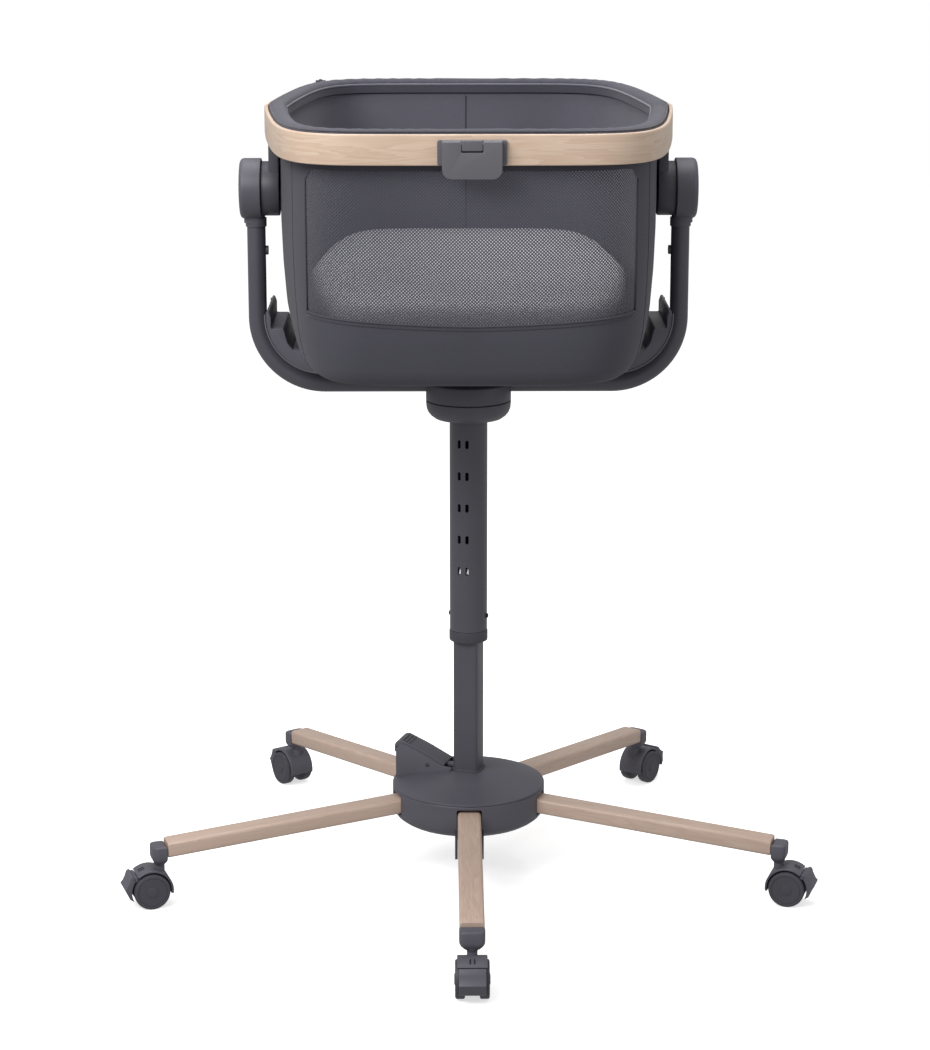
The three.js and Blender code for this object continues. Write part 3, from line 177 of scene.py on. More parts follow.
def rounded_line(points, radii, steps=5, closed=True):
    """A polyline whose corners are softened: each corner gives way to a short quadratic curve."""
    points = np.asarray(points, float)
    count = len(points)
    radii = np.broadcast_to(np.asarray(radii, float), (count,))
    t = np.linspace(0, 1, steps)[:, None]
    out = []
    for n in range(count):
        here = points[n]
        if not closed and n in (0, count - 1):
            out.append(here[None])
            continue
        before, after = points[n - 1] - here, points[(n + 1) % count] - here
        lb, la = np.linalg.norm(before), np.linalg.norm(after)
        reach = min(radii[n], 0.45 * lb, 0.45 * la)
        if reach < 1e-9:
            out.append(here[None])
            continue
        a, b = here + before / lb * reach, here + after / la * reach
        out.append((1 - t) ** 2 * a + 2 * t * (1 - t) * here + t**2 * b)
    return np.concatenate(out)


def full_turn(count):
    """Angles of a whole turn, evenly spaced."""
    return np.linspace(0, 2 * np.pi, count, endpoint=False)


def boxed(low_x, high_x, low_z, high_z, radii, steps):
    """A rectangle with softened corners, from its lower left corner on."""
    corners = [[low_x, low_z], [high_x, low_z], [high_x, high_z], [low_x, high_z]]
    return rounded_line(corners, radii, steps)


def level(outline, height):
    """A flat outline as a ring at one height."""
    return np.stack([outline[:, 0], outline[:, 1], np.full(len(outline), height)], -1)


def run_along(points):
    """Distance along the points from the first one on; a grid is measured down its columns."""
    steps = np.linalg.norm(np.diff(points, axis=0), axis=-1)
    return np.concatenate([np.zeros_like(steps[:1]), np.cumsum(steps, axis=0)])


def tube_about(path, radius, side, over, sides):
    """Circles round the points of a path, each in the plane of its side and over vectors."""
    turn = full_turn(sides)[None, :, None]
    side, over = (np.broadcast_to(way, path.shape)[:, None] for way in (side, over))
    return path[:, None] + radius * np.cos(turn) * side + radius * np.sin(turn) * over


def revolved(profile, sides=64):
    """Rings made by turning a profile of (radius, height) pairs about Z."""
    profile = np.asarray(profile, float)
    a = full_turn(sides)
    radius, height = profile[:, :1], profile[:, 1:]
    return np.stack([radius * np.cos(a), radius * np.sin(a), height + 0 * a], -1)


def slab_rings(outline, half, edge, steps=4):
    """A flat plate drawn as an outline in X and Z, carried from -half to +half along Y.

    Its two rims are rounded: towards each face the outline draws in along its own normals
    by edge * (1 - cos) while it runs edge * sin along Y."""
    outline = np.asarray(outline, float)
    ahead, behind = np.roll(outline, -1, 0), np.roll(outline, 1, 0)
    along = ahead - behind
    along /= np.maximum(np.linalg.norm(along, axis=1, keepdims=True), 1e-12)
    normal = np.stack([along[:, 1], -along[:, 0]], -1)
    area = float((outline[:, 0] * ahead[:, 1] - ahead[:, 0] * outline[:, 1]).sum())
    if area < 0:
        normal = -normal
    turn = np.linspace(0, np.pi / 2, steps)
    lows = [(edge * (1 - np.sin(t)), -(half - edge * (1 - np.cos(t)))) for t in turn]
    highs = [(d, -v) for d, v in lows[::-1]]
    rings = [
        np.stack(
            [outline[:, 0] - normal[:, 0] * d, np.full(len(outline), v), outline[:, 1] - normal[:, 1] * d],
            -1,
        )
        for d, v in lows + highs
    ]
    return np.array(rings)


def tube_rings(path, radius, sides=16):
    """A round tube: circles set square to the path, which lies in the order given."""
    path = np.asarray(path, float)
    along = np.gradient(path, axis=0)
    along /= np.linalg.norm(along, axis=1, keepdims=True)
    side = np.cross(along, UP)
    weak = np.linalg.norm(side, axis=1) < 0.2
    side[weak] = np.cross(along[weak], ALONG_Y)
    side /= np.linalg.norm(side, axis=1, keepdims=True)
    for n in range(1, len(side)):
        if np.dot(side[n], side[n - 1]) < 0:
            side[n] = -side[n]
    return tube_about(path, radius, side, np.cross(side, along), sides)


def looped_tube_rings(path, radius, sides=12):
    """A round tube along a closed, nearly level path: circles in the upright plane across it."""
    path = np.asarray(path, float)
    along = np.roll(path, -1, 0) - np.roll(path, 1, 0)
    along[:, 2] = 0
    along /= np.linalg.norm(along, axis=1, keepdims=True)
    out = np.stack([along[:, 1], -along[:, 0], 0 * along[:, 0]], -1)
    return tube_about(path, radius, out, UP, sides)


# ---- material helpers


def linear(code):
    """An sRGB hex colour as the linear RGBA that a shader takes."""
    values = [int(code[n : n + 2], 16) / 255 for n in (1, 3, 5)]
    return [v / 12.92 if v <= 0.04045 else ((v + 0.055) / 1.055) ** 2.4 for v in values] + [1.0]


def feed(tree, node, values=None, links=None):
    """Set the numbers of a node's inputs, and the sockets that feed them.

    A node given in place of a socket stands for its first output."""
    for key, value in (values or {}).items():
        node.inputs[key].default_value = value
    for key, source in (links or {}).items():
        socket = source.outputs[0] if isinstance(source, bpy.types.Node) else source
        tree.links.new(socket, node.inputs[key])


def add(tree, kind, values=None, links=None, **settings):
    """Add one node with its settings, and feed its inputs."""
    node = tree.nodes.new("ShaderNode" + kind)
    for key, value in settings.items():
        setattr(node, key, value)
    feed(tree, node, values, links)
    return node


def new_material(name):
    """An empty node material with its principled shader and output."""
    material = bpy.data.materials.new(name)
    material.use_nodes = True
    tree = material.node_tree
    tree.nodes.clear()
    shader = add(tree, "BsdfPrincipled")
    add(tree, "OutputMaterial", links={"Surface": shader})
    return material, tree, shader


def two_tone(tree, factor, low, high):
    """A colour that runs from low to high with the factor."""
    ends = {6: linear(low), 7: linear(high)}
    return add(tree, "Mix", ends, {"Factor": factor}, data_type="RGBA").outputs[2]


def clouded(tree, shader, tones, span, gloss, cloud, grain, bump):
    """Soft clouds of tone and gloss over a fine relief, as on any handled hard surface.

    The tones are two colours, span is the part of the clouds that runs between them, gloss holds
    two roughnesses, cloud and grain a scale and a detail each, bump a strength and a height."""
    place = add(tree, "TexCoord").outputs["Object"]
    clouds, grains = (
        add(tree, "TexNoise", {"Scale": scale, "Detail": detail}, {"Vector": place})
        for scale, detail in (cloud, grain)
    )
    tone = add(tree, "MapRange", {"From Min": span[0], "From Max": span[1]}, {"Value": clouds})
    ends = {"From Min": 0.3, "From Max": 0.7, "To Min": gloss[0], "To Max": gloss[1]}
    shine = add(tree, "MapRange", ends, {"Value": clouds})
    relief = add(tree, "Bump", {"Strength": bump[0], "Distance": bump[1] * MM}, {"Height": grains})
    colour = two_tone(tree, tone, *tones)
    feed(tree, shader, {"IOR": 1.5}, {"Base Color": colour, "Roughness": shine, "Normal": relief})


def moulded_plastic(name, dark, light, roughness):
    """ABS from a spark-eroded mould: an even fine grain 0.9 mm across that breaks the highlight
    softly, with faint cloudy changes of gloss where it has been handled. IOR 1.5."""
    material, tree, shader = new_material(name)
    gloss = (roughness - 0.06, roughness + 0.06)
    grain = (1000 / 0.9, 2.0)
    clouded(tree, shader, (dark, light), (0.3, 0.7), gloss, (9.0, 3.0), grain, (0.35, 0.05))
    return material


def powder_coat(name, dark, light):
    """Polyester powder baked on steel tube: satin, with a slight orange peel 2 mm across."""
    material, tree, shader = new_material(name)
    peel = (500.0, 1.0)
    clouded(tree, shader, (dark, light), (0.0, 1.0), (0.34, 0.44), (14.0, 2.0), peel, (0.2, 0.04))
    feed(tree, shader, {"Coat Weight": 0.15, "Coat Roughness": 0.3})
    return material


def wood_print(name, pale, mid, dark, across_mm, length_mm):
    """A pale ash grain printed on film under a satin lacquer: fine fibres and slow cathedral
    figure that run along the piece. It reads the piece's own map, in metres along and round it."""
    material, tree, shader = new_material(name)
    along = add(tree, "UVMap", uv_map="along").outputs["UV"]
    figure_place = add(
        tree, "Mapping", {"Scale": (1000 / length_mm, 1000 / across_mm, 1.0)}, {"Vector": along}
    )
    drift = add(
        tree, "TexNoise", {"Scale": 1.0, "Detail": 3.0, "Roughness": 0.55, "Distortion": 0.6},
        {"Vector": figure_place}
    )
    rings = add(tree, "Math", {1: 7.0}, {0: drift}, operation="MULTIPLY")
    wave = add(tree, "Math", {}, {0: rings}, operation="FRACT")
    fibre_place = add(tree, "Mapping", {"Scale": (22.0, 1500.0, 1.0)}, {"Vector": along})
    fibre = add(tree, "TexNoise", {"Scale": 1.0, "Detail": 3.0}, {"Vector": fibre_place})
    soft = add(
        tree, "MapRange", {"From Min": 0.0, "From Max": 1.0, "To Min": 0.0, "To Max": 0.75},
        {"Value": wave}
    )
    ground = two_tone(tree, soft, pale, mid)
    streak = add(
        tree, "MapRange", {"From Min": 0.52, "From Max": 0.78, "To Min": 0.0, "To Max": 0.55},
        {"Value": fibre}
    )
    streaked = {"Factor": streak, 6: ground}
    mix = add(tree, "Mix", {7: linear(dark)}, streaked, data_type="RGBA")
    bump = add(tree, "Bump", {"Strength": 0.15, "Distance": 0.03 * MM}, {"Height": fibre})
    feed(
        tree, shader, {"Roughness": 0.42, "IOR": 1.5, "Coat Weight": 0.1},
        {"Base Color": mix.outputs[2], "Normal": bump}
    )
    return material


def woven_cloth(name, dark, light, thread_mm, relief=0.25, roughness=0.92, sheen=0.25):
    """Plain-woven polyester: crossed threads, one over one under, drawn a little coarse so that
    they show, with a heathered mix of two greys. It reads the piece's own map, in metres."""
    material, tree, shader = new_material(name)
    along = add(tree, "UVMap", uv_map="along").outputs["UV"]
    threads = add(
        tree, "Mapping", {"Scale": (1000 / thread_mm, 1000 / thread_mm, 1.0)}, {"Vector": along}
    )
    weave = add(tree, "TexChecker", {"Scale": 1.0}, {"Vector": threads})
    heather = add(
        tree, "TexNoise", {"Scale": 1.0, "Detail": 4.0, "Roughness": 0.7}, {"Vector": threads}
    )
    cloud = add(tree, "TexNoise", {"Scale": 6.0, "Detail": 2.0}, {"Vector": along})
    blend = add(tree, "Math", {2: 0.12}, {0: heather, 1: cloud}, operation="MULTIPLY_ADD")
    tone = add(tree, "MapRange", {"From Min": 0.2, "From Max": 0.55}, {"Value": blend})
    colour = two_tone(tree, tone, dark, light)
    height = add(tree, "Math", {}, {0: weave.outputs["Fac"], 1: heather}, operation="ADD")
    bump = add(tree, "Bump", {"Strength": 0.4, "Distance": relief * MM}, {"Height": height})
    feed(
        tree, shader, {"Roughness": roughness, "Sheen Weight": sheen, "Sheen Roughness": 0.5},
        {"Base Color": colour, "Normal": bump}
    )
    return material


def knitted_mesh(name, yarn, hole_mm, open_share):
    """Warp-knitted polyester mesh: round holes in staggered rows between dark yarns.
    The holes let light through, so what is behind shows."""
    material, tree, shader = new_material(name)
    along = add(tree, "UVMap", uv_map="along").outputs["UV"]
    step = 1000 * math.pi / hole_mm
    split = add(tree, "SeparateXYZ", links={"Vector": along})
    u = add(tree, "Math", {1: step}, {0: split.outputs["X"]}, operation="MULTIPLY")
    v = add(tree, "Math", {1: step}, {0: split.outputs["Y"]}, operation="MULTIPLY")
    both = add(tree, "Math", {}, {0: u, 1: v}, operation="ADD")
    apart = add(tree, "Math", {}, {0: u, 1: v}, operation="SUBTRACT")
    wave_a = add(tree, "Math", {}, {0: both}, operation="COSINE")
    wave_b = add(tree, "Math", {}, {0: apart}, operation="COSINE")
    holes = add(tree, "Math", {}, {0: wave_a, 1: wave_b}, operation="ADD")
    edge = 1.0 - 2 * open_share
    solid = add(
        tree, "MapRange",
        {"From Min": edge - 0.25, "From Max": edge + 0.25, "To Min": 1.0, "To Max": 0.0},
        {"Value": holes}
    )
    feed(
        tree, shader, {"Base Color": linear(yarn), "Roughness": 0.85, "Sheen Weight": 0.2},
        {"Alpha": solid}
    )
    bump = add(tree, "Bump", {"Strength": 0.3, "Distance": 0.3 * MM}, {"Height": solid})
    feed(tree, shader, links={"Normal": bump})
    return material


def plated_steel(name):
    """Zinc-plated steel: bright, a little uneven, roughness 0.3."""
    material, tree, shader = new_material(name)
    place = add(tree, "TexCoord").outputs["Object"]
    cloud = add(tree, "TexNoise", {"Scale": 300.0, "Detail": 2.0}, {"Vector": place})
    gloss = add(tree, "MapRange", {"To Min": 0.22, "To Max": 0.42}, {"Value": cloud})
    feed(
        tree, shader, {"Metallic": 1.0},
        {"Base Color": two_tone(tree, cloud, "#a9abad", "#cfd0d2"), "Roughness": gloss}
    )
    return material


charcoal_abs = moulded_plastic("charcoal ABS, spark-eroded", "#55545d", "#5e5d67", 0.46)
dark_abs = moulded_plastic("dark ABS, spark-eroded", "#403f47", "#494851", 0.46)
# The rim clip's own grey, also used on the cradle's edge bead as a painted highlight along that lit edge.
clip_grey_and_lip_highlight = moulded_plastic("grey ABS, satin mould", "#5f5e65", "#68676d", 0.45)
# The rivets' own black, also laid over the caster hoods' slots as painted shade inside them.
black_rubber_and_slot_shade = moulded_plastic("black rubber, moulded", "#1b1b1e", "#242428", 0.75)
tread_rubber = moulded_plastic("grey polyurethane tread, moulded", "#45444c", "#4d4c55", 0.55)
coated_steel = powder_coat("charcoal powder coat on steel", "#4c4b54", "#54535d")
leg_wood = wood_print("ash-grain film on steel tube", "#d2bbab", "#c4a897", "#ab8c79", 14.0, 160.0)
band_wood = wood_print("ash-grain film on moulded band", "#dcc5b0", "#cdb098", "#b59377", 16.0, 210.0)
tub_fabric = woven_cloth("charcoal polyester, plain weave", "#43424b", "#4f4e58", 1.5, sheen=0.05)
lining_fabric = woven_cloth("charcoal lining, plain weave", "#5a5963", "#66656f", 1.5, sheen=0.1)
pad_fabric = woven_cloth(
    "charcoal spacer fabric, padded", "#43424c", "#4f4e59", 1.8, relief=0.35, sheen=0.1
)
piping_fabric = woven_cloth("grey piping, bias-cut", "#6c6b75", "#7d7c86", 1.2)
seam_thread = woven_cloth("dark seam, lockstitched", "#2e2d35", "#393841", 1.2)
window_mesh = knitted_mesh("charcoal knitted mesh, polyester", "#4b4a54", 2.0, 0.25)
mattress_cover = woven_cloth(
    "pale grey mattress cover, knit", "#a6a6ac", "#b5b5ba", 2.4, relief=0.3, sheen=0.1
)
zinc_steel = plated_steel("zinc-plated steel")

for node, material in {
    "hub_spider": dark_abs, "inner_mast_glide": dark_abs, "pull_rod": zinc_steel,
    "lock_bolt": zinc_steel, "swivel_pin": zinc_steel, "clip_pin": zinc_steel,
    "rim_frame": dark_abs, "mattress_tray": dark_abs
}.items():
    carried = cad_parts[node].data
    carried.materials.clear()
    carried.materials.append(material)


# ---- placing shapes


def at(points, angle=0.0, reach=0.0):
    """Millimetres drawn round the column, moved outwards by reach, turned and put in the frame."""
    points = np.asarray(points, float) + np.array([reach, 0.0, 0.0])
    return turned_about_column(points * MM, angle)


def rounded_rectangle(width, height, corner, steps=5):
    """Points of a rectangle with round corners, counter-clockwise, in its own plane."""
    a, b = width / 2 - corner, height / 2 - corner
    turn = np.linspace(0, np.pi / 2, steps)
    out = []
    for number, (x, y) in enumerate(((a, b), (-a, b), (-a, -b), (a, -b))):
        angle = turn + number * np.pi / 2
        out.append(np.stack([x + corner * np.cos(angle), y + corner * np.sin(angle)], -1))
    return np.concatenate(out)


def arc(radius, start, end, centre, steps):
    """Points on a circle in X and Z, angles in degrees from +X towards +Z."""
    a = np.radians(np.linspace(start, end, steps))
    return np.stack([centre[0] + radius * np.cos(a), centre[1] + radius * np.sin(a)], -1)


def lying(rings):
    """Rings turned about Z, laid down so that they are turned about Y."""
    rings = np.asarray(rings, float)
    return np.stack([rings[..., 0], rings[..., 2], rings[..., 1]], -1)


def about_x(rings):
    """Rings turned about Z, laid down so that they are turned about X."""
    rings = np.asarray(rings, float)
    return np.stack([rings[..., 2], rings[..., 0], rings[..., 1]], -1)


def lifted(points, centre, degrees):
    """Points turned about a line along Y through centre, in X and Z."""
    points = np.array(points, float)
    a = math.radians(degrees)
    x, z = points[..., 0] - centre[0], points[..., 2] - centre[1]
    points[..., 0] = centre[0] + x * math.cos(a) - z * math.sin(a)
    points[..., 2] = centre[1] + x * math.sin(a) + z * math.cos(a)
    return points


# ---- hub of the stand

HUB_RADIUS = 103.0
LEG_WIDTH, LEG_HEIGHT, LEG_CORNER = 31.0, 21.0, 4.5
LEG_START, LEG_END = 38.0, 421.0
LEG_TILT = 29.6 / 383.0
LEG_ROOT_HEIGHT = 106.8
DOME_LOW, DOME_RISE, HUB_WALL = 124.3, 18.0, 2.6


def leg_height(reach):
    """Height of a leg's middle line: it drops evenly from the hub to its end."""
    return LEG_ROOT_HEIGHT - LEG_TILT * (reach - LEG_START)


def dome_height(share):
    """The dome's height at a share of its radius: nearly flat, then falling to the seam."""
    return DOME_LOW + DOME_RISE * (1 - np.asarray(share) ** 2.2)


share = np.linspace(0.16, 0.985, 22)
dome_outer = np.stack([HUB_RADIUS * share, dome_height(share)], -1)
dome_rim = np.array([[102.5, 124.4], [103.0, 123.2], [103.0, 121.9], [102.4, 121.5], [99.0, 121.5]])
dome_inner = np.stack([HUB_RADIUS * share[::-1] * 0.97, dome_height(share[::-1]) - 3.4], -1)
skinned(
    "hub dome", at(revolved(np.concatenate([dome_outer, dome_rim, dome_inner]), 96)), charcoal_abs,
    "base", ("hub_cover",), loop=True
)

MOUTH_HALF, MOUTH_RISE = LEG_WIDTH / 2 + 1.4, LEG_HEIGHT / 2 + 3.4
mouth_height = leg_height(HUB_RADIUS) + 1.4
edge_angle = math.degrees(math.asin(MOUTH_HALF / HUB_RADIUS))
columns, in_mouth = [], []
for number in range(1, LEG_COUNT + 1):
    middle = math.degrees(leg_angle(number))
    columns += list(np.linspace(middle - edge_angle, middle + edge_angle, 5))
    columns += list(np.linspace(middle + edge_angle, middle + 72 - edge_angle, 15))[1:-1]
    in_mouth += [True] * 4 + [False] * 14
columns = np.radians(np.array(columns))
bowl = np.array(
    [
        [30.0, 74.0], [81.0, 74.0], [89.5, 75.4], [94.0, 78.0], [98.6, 81.6], [101.2, 85.0],
        [102.3, mouth_height - MOUTH_RISE], [103.0, 94.0], [103.0, 102.0],
        [103.0, mouth_height + MOUTH_RISE], [103.0, 118.6], [103.0, 120.2], [102.4, 121.0],
        [99.5, 121.0]
    ]
)
rows = len(bowl)
points = np.stack(
    [bowl[:, :1] * np.cos(columns), bowl[:, :1] * np.sin(columns), bowl[:, 1:] + 0 * columns], -1
)
quads = skin_faces(rows, len(columns), False).reshape(rows - 1, len(columns), 4)
keep = np.ones((rows - 1, len(columns)), bool)
keep[6:9][:, np.array(in_mouth)] = False
bowl_piece = finish_piece(
    "hub shell", at(points.reshape(-1, 3)), quads[keep].tolist(), charcoal_abs, "base",
    ("hub_housing",)
)
thickened(bowl_piece, HUB_WALL)

for number in range(1, LEG_COUNT + 1):
    mouth = rounded_rectangle(2 * MOUTH_HALF + 1.6, 2 * MOUTH_RISE + 1.6, 4.0, 6)
    gap = rounded_rectangle(2 * MOUTH_HALF - 0.6, 2 * MOUTH_RISE - 0.6, 3.2, 6)
    rings = []
    for ring, depth in ((gap, -4.0), (gap, -0.3), (gap * 1.01, 0.1), (mouth, 0.1), (mouth, -4.0)):
        across, up = ring[:, 0], ring[:, 1]
        out = np.sqrt(HUB_RADIUS**2 - across**2) + depth
        rings.append(np.stack([out, across, mouth_height + up], -1))
    skinned(f"leg grommet {number}", at(rings, leg_angle(number)), charcoal_abs, "base", loop=True)


# ---- legs, caps and casters

# A cap's outline draws in by the first number at each height.
cap_heights = (
    (8.6, 56.6), (5.6, 58.4), (1.8, 62.2), (0.5, 64.6), (0.0, 67.0), (0.0, 79.6), (0.7, 81.2),
    (2.4, 82.1), (6.0, 82.6), (10.0, 82.8)
)
STEM_REACH = 430.0
leg_section = rounded_rectangle(LEG_WIDTH, LEG_HEIGHT, LEG_CORNER, 7)
girth = run_along(leg_section)
for number in range(1, LEG_COUNT + 1):
    angle = leg_angle(number)
    stations = [(LEG_START, 0.0), (60.0, 0.0), (240.0, 0.0), (419.6, 0.0), (LEG_END, 0.8)]
    rings = [
        np.stack(
            [
                np.full(len(leg_section), reach), leg_section[:, 0] * (1 - 2 * draw / LEG_WIDTH),
                leg_height(reach) + leg_section[:, 1] * (1 - 2 * draw / LEG_HEIGHT)
            ],
            -1
        )
        for reach, draw in stations
    ]
    print_map = [
        np.stack([np.full(len(girth), reach * MM + 0.7 * number), girth * MM + 0.31 * number], -1)
        for reach, _ in stations
    ]
    skinned(
        f"leg {number}", at(rings, angle), leg_wood, "base", (f"leg_{number}",),
        uv=np.concatenate(print_map)
    )

    half, tip, start = LEG_WIDTH / 2 + 0.5, 441.0, 421.8
    nose = boxed(start, tip, -half, half, [0.6, 11.0, 11.0, 0.6], 9)
    middle = nose.mean(0)
    head = []
    for draw, z in cap_heights:
        head.append(level(middle + (nose - middle) * (1 - draw / half), z))
    cone = revolved([[6.2, 55.0], [7.0, 55.2], [8.0, 58.0], [10.3, 64.2], [10.5, 66.5]], 32)
    cone = cone + np.array([STEM_REACH, 0, 0])
    joined(
        f"leg cap {number}", [shell_of(at(head, angle)), shell_of(at(cone, angle))], charcoal_abs,
        "base", (f"leg_cap_{number}",)
    )

WHEEL_AXLE = (444.3, 23.705)
AXLE_SPOT = np.array([WHEEL_AXLE[0], 0, WHEEL_AXLE[1]])
LIFTED_LEVER, LEVER_LIFT = 3, 25
HOOD_RADIUS, HOOD_HALF, HOOD_WALL = 29.0, 18.5, 3.0
LEVER_PIVOT = (464.74, 42.11)
HOOD_START = 50  # degrees from outwards: the hood ends just short of the lever's barrel


def hood_parts(angle):
    """Caster hood: a curved fender, a web between the wheels, a neck and its stem in the leg's cap."""
    outer = arc(HOOD_RADIUS, HOOD_START, 190, WHEEL_AXLE, 30)
    inner = arc(HOOD_RADIUS - HOOD_WALL, 190, HOOD_START, WHEEL_AXLE, 30)
    fender = slab_rings(np.concatenate([outer, inner]), HOOD_HALF, 1.2, 4)
    web = np.concatenate(
        [
            arc(HOOD_RADIUS - 1.5, HOOD_START + 0.5, 190, WHEEL_AXLE, 22),
            arc(9.0, 225, 335, WHEEL_AXLE, 6)
        ]
    )
    neck = revolved([[6.4, 40.0], [6.5, 53.6], [6.1, 54.7]], 24) + np.array([STEM_REACH, 0, 0])
    stem = revolved([[5.0, 53.0], [5.0, 75.0], [4.6, 76.5]], 20) + np.array([STEM_REACH, 0, 0])
    return [
        shell_of(at(fender, angle)), shell_of(at(slab_rings(web, 7.4, 0.6, 3), angle)),
        shell_of(at(neck, angle)), shell_of(at(stem, angle))
    ]


wheel_profile = [
    [2.0, 9.0], [21.8, 9.0], [23.4, 9.5], [24.0, 11.0], [24.0, 18.6], [23.4, 20.3], [21.8, 21.0],
    [19.9, 21.0], [19.5, 20.4], [18.6, 20.4], [18.2, 21.0], [7.2, 21.0], [6.8, 21.7], [5.6, 22.0],
    [0.05, 22.0]
]
lever_pad = np.concatenate(
    [
        arc(26.6, 39, -26, WHEEL_AXLE, 12),
        [
            [473.8, 15.7], [477.8, 25.7], [480.3, 29.2], [477.3, 32.7], [474.3, 38.7],
            [472.3, 45.1], [469.3, 47.1], [465.7, 44.7]
        ]
    ]
)
for number in range(1, LEG_COUNT + 1):
    angle = leg_angle(number)
    joined(
        f"caster hood {number}", hood_parts(angle), charcoal_abs, f"caster_{number}",
        (f"caster_hood_{number}",)
    )
    # The slots are not cut through the hood: a thin black plate over each one is painted shade standing
    # for the dark inside it.
    painted_slot_shades = []
    for side in (-1, 1):
        slot = boxed(-4.2, 4.2, -1.1, 1.1, 1.0, 5)
        strips = []
        for raise_by in (-1.0, 0.5):
            lean = slot[:, 0] / HOOD_RADIUS + math.radians(68)
            radius = HOOD_RADIUS + raise_by
            strips.append(
                np.stack(
                    [
                        WHEEL_AXLE[0] + radius * np.cos(lean), side * 2.6 + slot[:, 1],
                        WHEEL_AXLE[1] + radius * np.sin(lean)
                    ],
                    -1
                )
            )
        painted_slot_shades.append(shell_of(at(strips, angle)))
    joined(f"hood slots {number}", painted_slot_shades, black_rubber_and_slot_shade, f"caster_{number}")

    wheels = []
    for side in (-1, 1):
        turned_wheel = lying(revolved(wheel_profile, 64)) * np.array([1, side, 1])
        wheels.append(shell_of(at(turned_wheel + AXLE_SPOT, angle)))
    axle = lying(revolved([[2.4, -10.0], [2.4, 10.0]], 20)) + AXLE_SPOT
    wheels.append(shell_of(at(axle, angle)))
    joined(
        f"caster wheels {number}", wheels, tread_rubber, f"wheels_{number}",
        (f"caster_wheels_{number}",)
    )
    barrel = lying(revolved([[2.6, -16.5], [3.0, -16.1], [3.0, 16.1], [2.6, 16.5]], 24))
    barrel = barrel + np.array([LEVER_PIVOT[0], 0, LEVER_PIVOT[1]])
    pad = slab_rings(lever_pad, 16.5, 0.5, 4)
    if number == LIFTED_LEVER:
        pad = lifted(pad, LEVER_PIVOT, LEVER_LIFT)
        barrel = lifted(barrel, LEVER_PIVOT, LEVER_LIFT)
    joined(
        f"brake lever {number}", [shell_of(at(pad, angle)), shell_of(at(barrel, angle))],
        charcoal_abs, f"brake_{number}", (f"brake_lever_{number}",)
    )


# ---- column

mast_section = rounded_rectangle(34.0, 34.0, 5.0, 6)
mast = [level(mast_section, z) for z in (84.0, 140.0, 320.0, 452.0)]
skinned("inner mast", at(mast, COLUMN_TURN), coated_steel, "base", ("inner_mast",))
collar = rounded_rectangle(39.0, 39.0, 7.0, 6)
collar_rings = [
    level(collar * k, z)
    for k, z in ((1.0, 139.0), (1.0, 143.2), (0.97, 144.6), (0.885, 144.9))
]
skinned("mast collar", at(collar_rings, COLUMN_TURN), dark_abs, "base")

MAST_RADIUS = 25.0
SLOT_HALF_WIDTH, SLOT_TALL, SLOT_GAP, SLOT_CORNER = 2.25, 11.0, 5.4, 1.2
LOWEST_SLOT, SLOT_STEP, SLOT_PAIRS = 424.0, 43.0, 5
slot_edge = [side * SLOT_GAP + step * SLOT_HALF_WIDTH for side in (-1, 1) for step in (-1, 0, 1)]
front = np.arcsin(np.array(slot_edge) / MAST_RADIUS)
around = np.concatenate([front, np.linspace(front[-1], front[0] + 2 * np.pi, 58)[1:-1]]) - np.pi / 2
slot_rows = []
for row in range(SLOT_PAIRS):
    middle = LOWEST_SLOT + SLOT_STEP * row
    low, high = middle - SLOT_TALL / 2, middle + SLOT_TALL / 2
    slot_rows += [low, low + SLOT_CORNER, high - SLOT_CORNER, high]
levels = np.array([339.3, 380.0] + slot_rows + [625.0, 645.0])
mast_points = np.stack(
    [
        MAST_RADIUS * np.cos(around) + 0 * levels[:, None],
        MAST_RADIUS * np.sin(around) + 0 * levels[:, None], levels[:, None] + 0 * around
    ],
    -1
)
# The first and last row of each slot draw in by 1 mm at its sides, so that its corners are cut.
for row in [2 + n for n in range(4 * SLOT_PAIRS) if n % 4 in (0, 3)]:
    for column, way in ((0, 1), (2, -1), (3, 1), (5, -1)):
        sideways = np.array([-math.sin(around[column]), math.cos(around[column]), 0])
        mast_points[row, column] += way * sideways
quads = skin_faces(len(levels), len(around), False).reshape(len(levels) - 1, len(around), 4)
keep = np.ones(quads.shape[:2], bool)
for row in range(SLOT_PAIRS):
    keep[2 + 4 * row : 5 + 4 * row, [0, 1, 3, 4]] = False
mast_tube = finish_piece(
    "outer mast", at(mast_points.reshape(-1, 3), COLUMN_TURN), quads[keep].tolist(), coated_steel,
    "mast", ("outer_mast",)
)
thickened(mast_tube, 2.4)

bush_turn = full_turn(96)
c, s = np.cos(bush_turn), np.sin(bush_turn)
square_hole = 17.6 / (np.abs(c) ** 8 + np.abs(s) ** 8) ** (1 / 8)  # a superellipse round the mast
bush = [
    np.stack([radius * c, radius * s, height + 0 * c], -1)
    for radius, height in (
        (24.4, 324.0), (25.4, 324.6), (25.7, 326.0), (25.7, 337.2), (25.3, 338.6), (24.4, 339.1),
        (square_hole, 339.1), (square_hole, 324.0)
    )
]
skinned("mast bush", at(bush, COLUMN_TURN), dark_abs, "mast", ("mast_bush",), loop=True)
for side, name in ((1, "mast_rivet_right"), (-1, "mast_rivet_left")):
    rivet = about_x(
        revolved([[1.7, 22.0], [1.7, 25.2], [3.2, 25.2], [3.1, 26.6], [2.3, 27.3], [0.1, 27.4]], 28)
    )
    rivet = rivet * np.array([side, 1, 1]) + np.array([0, 0, 359.0])
    skinned(f"rivet {name[-5:]}", at(rivet, COLUMN_TURN), black_rubber_and_slot_shade, "mast", (name,))

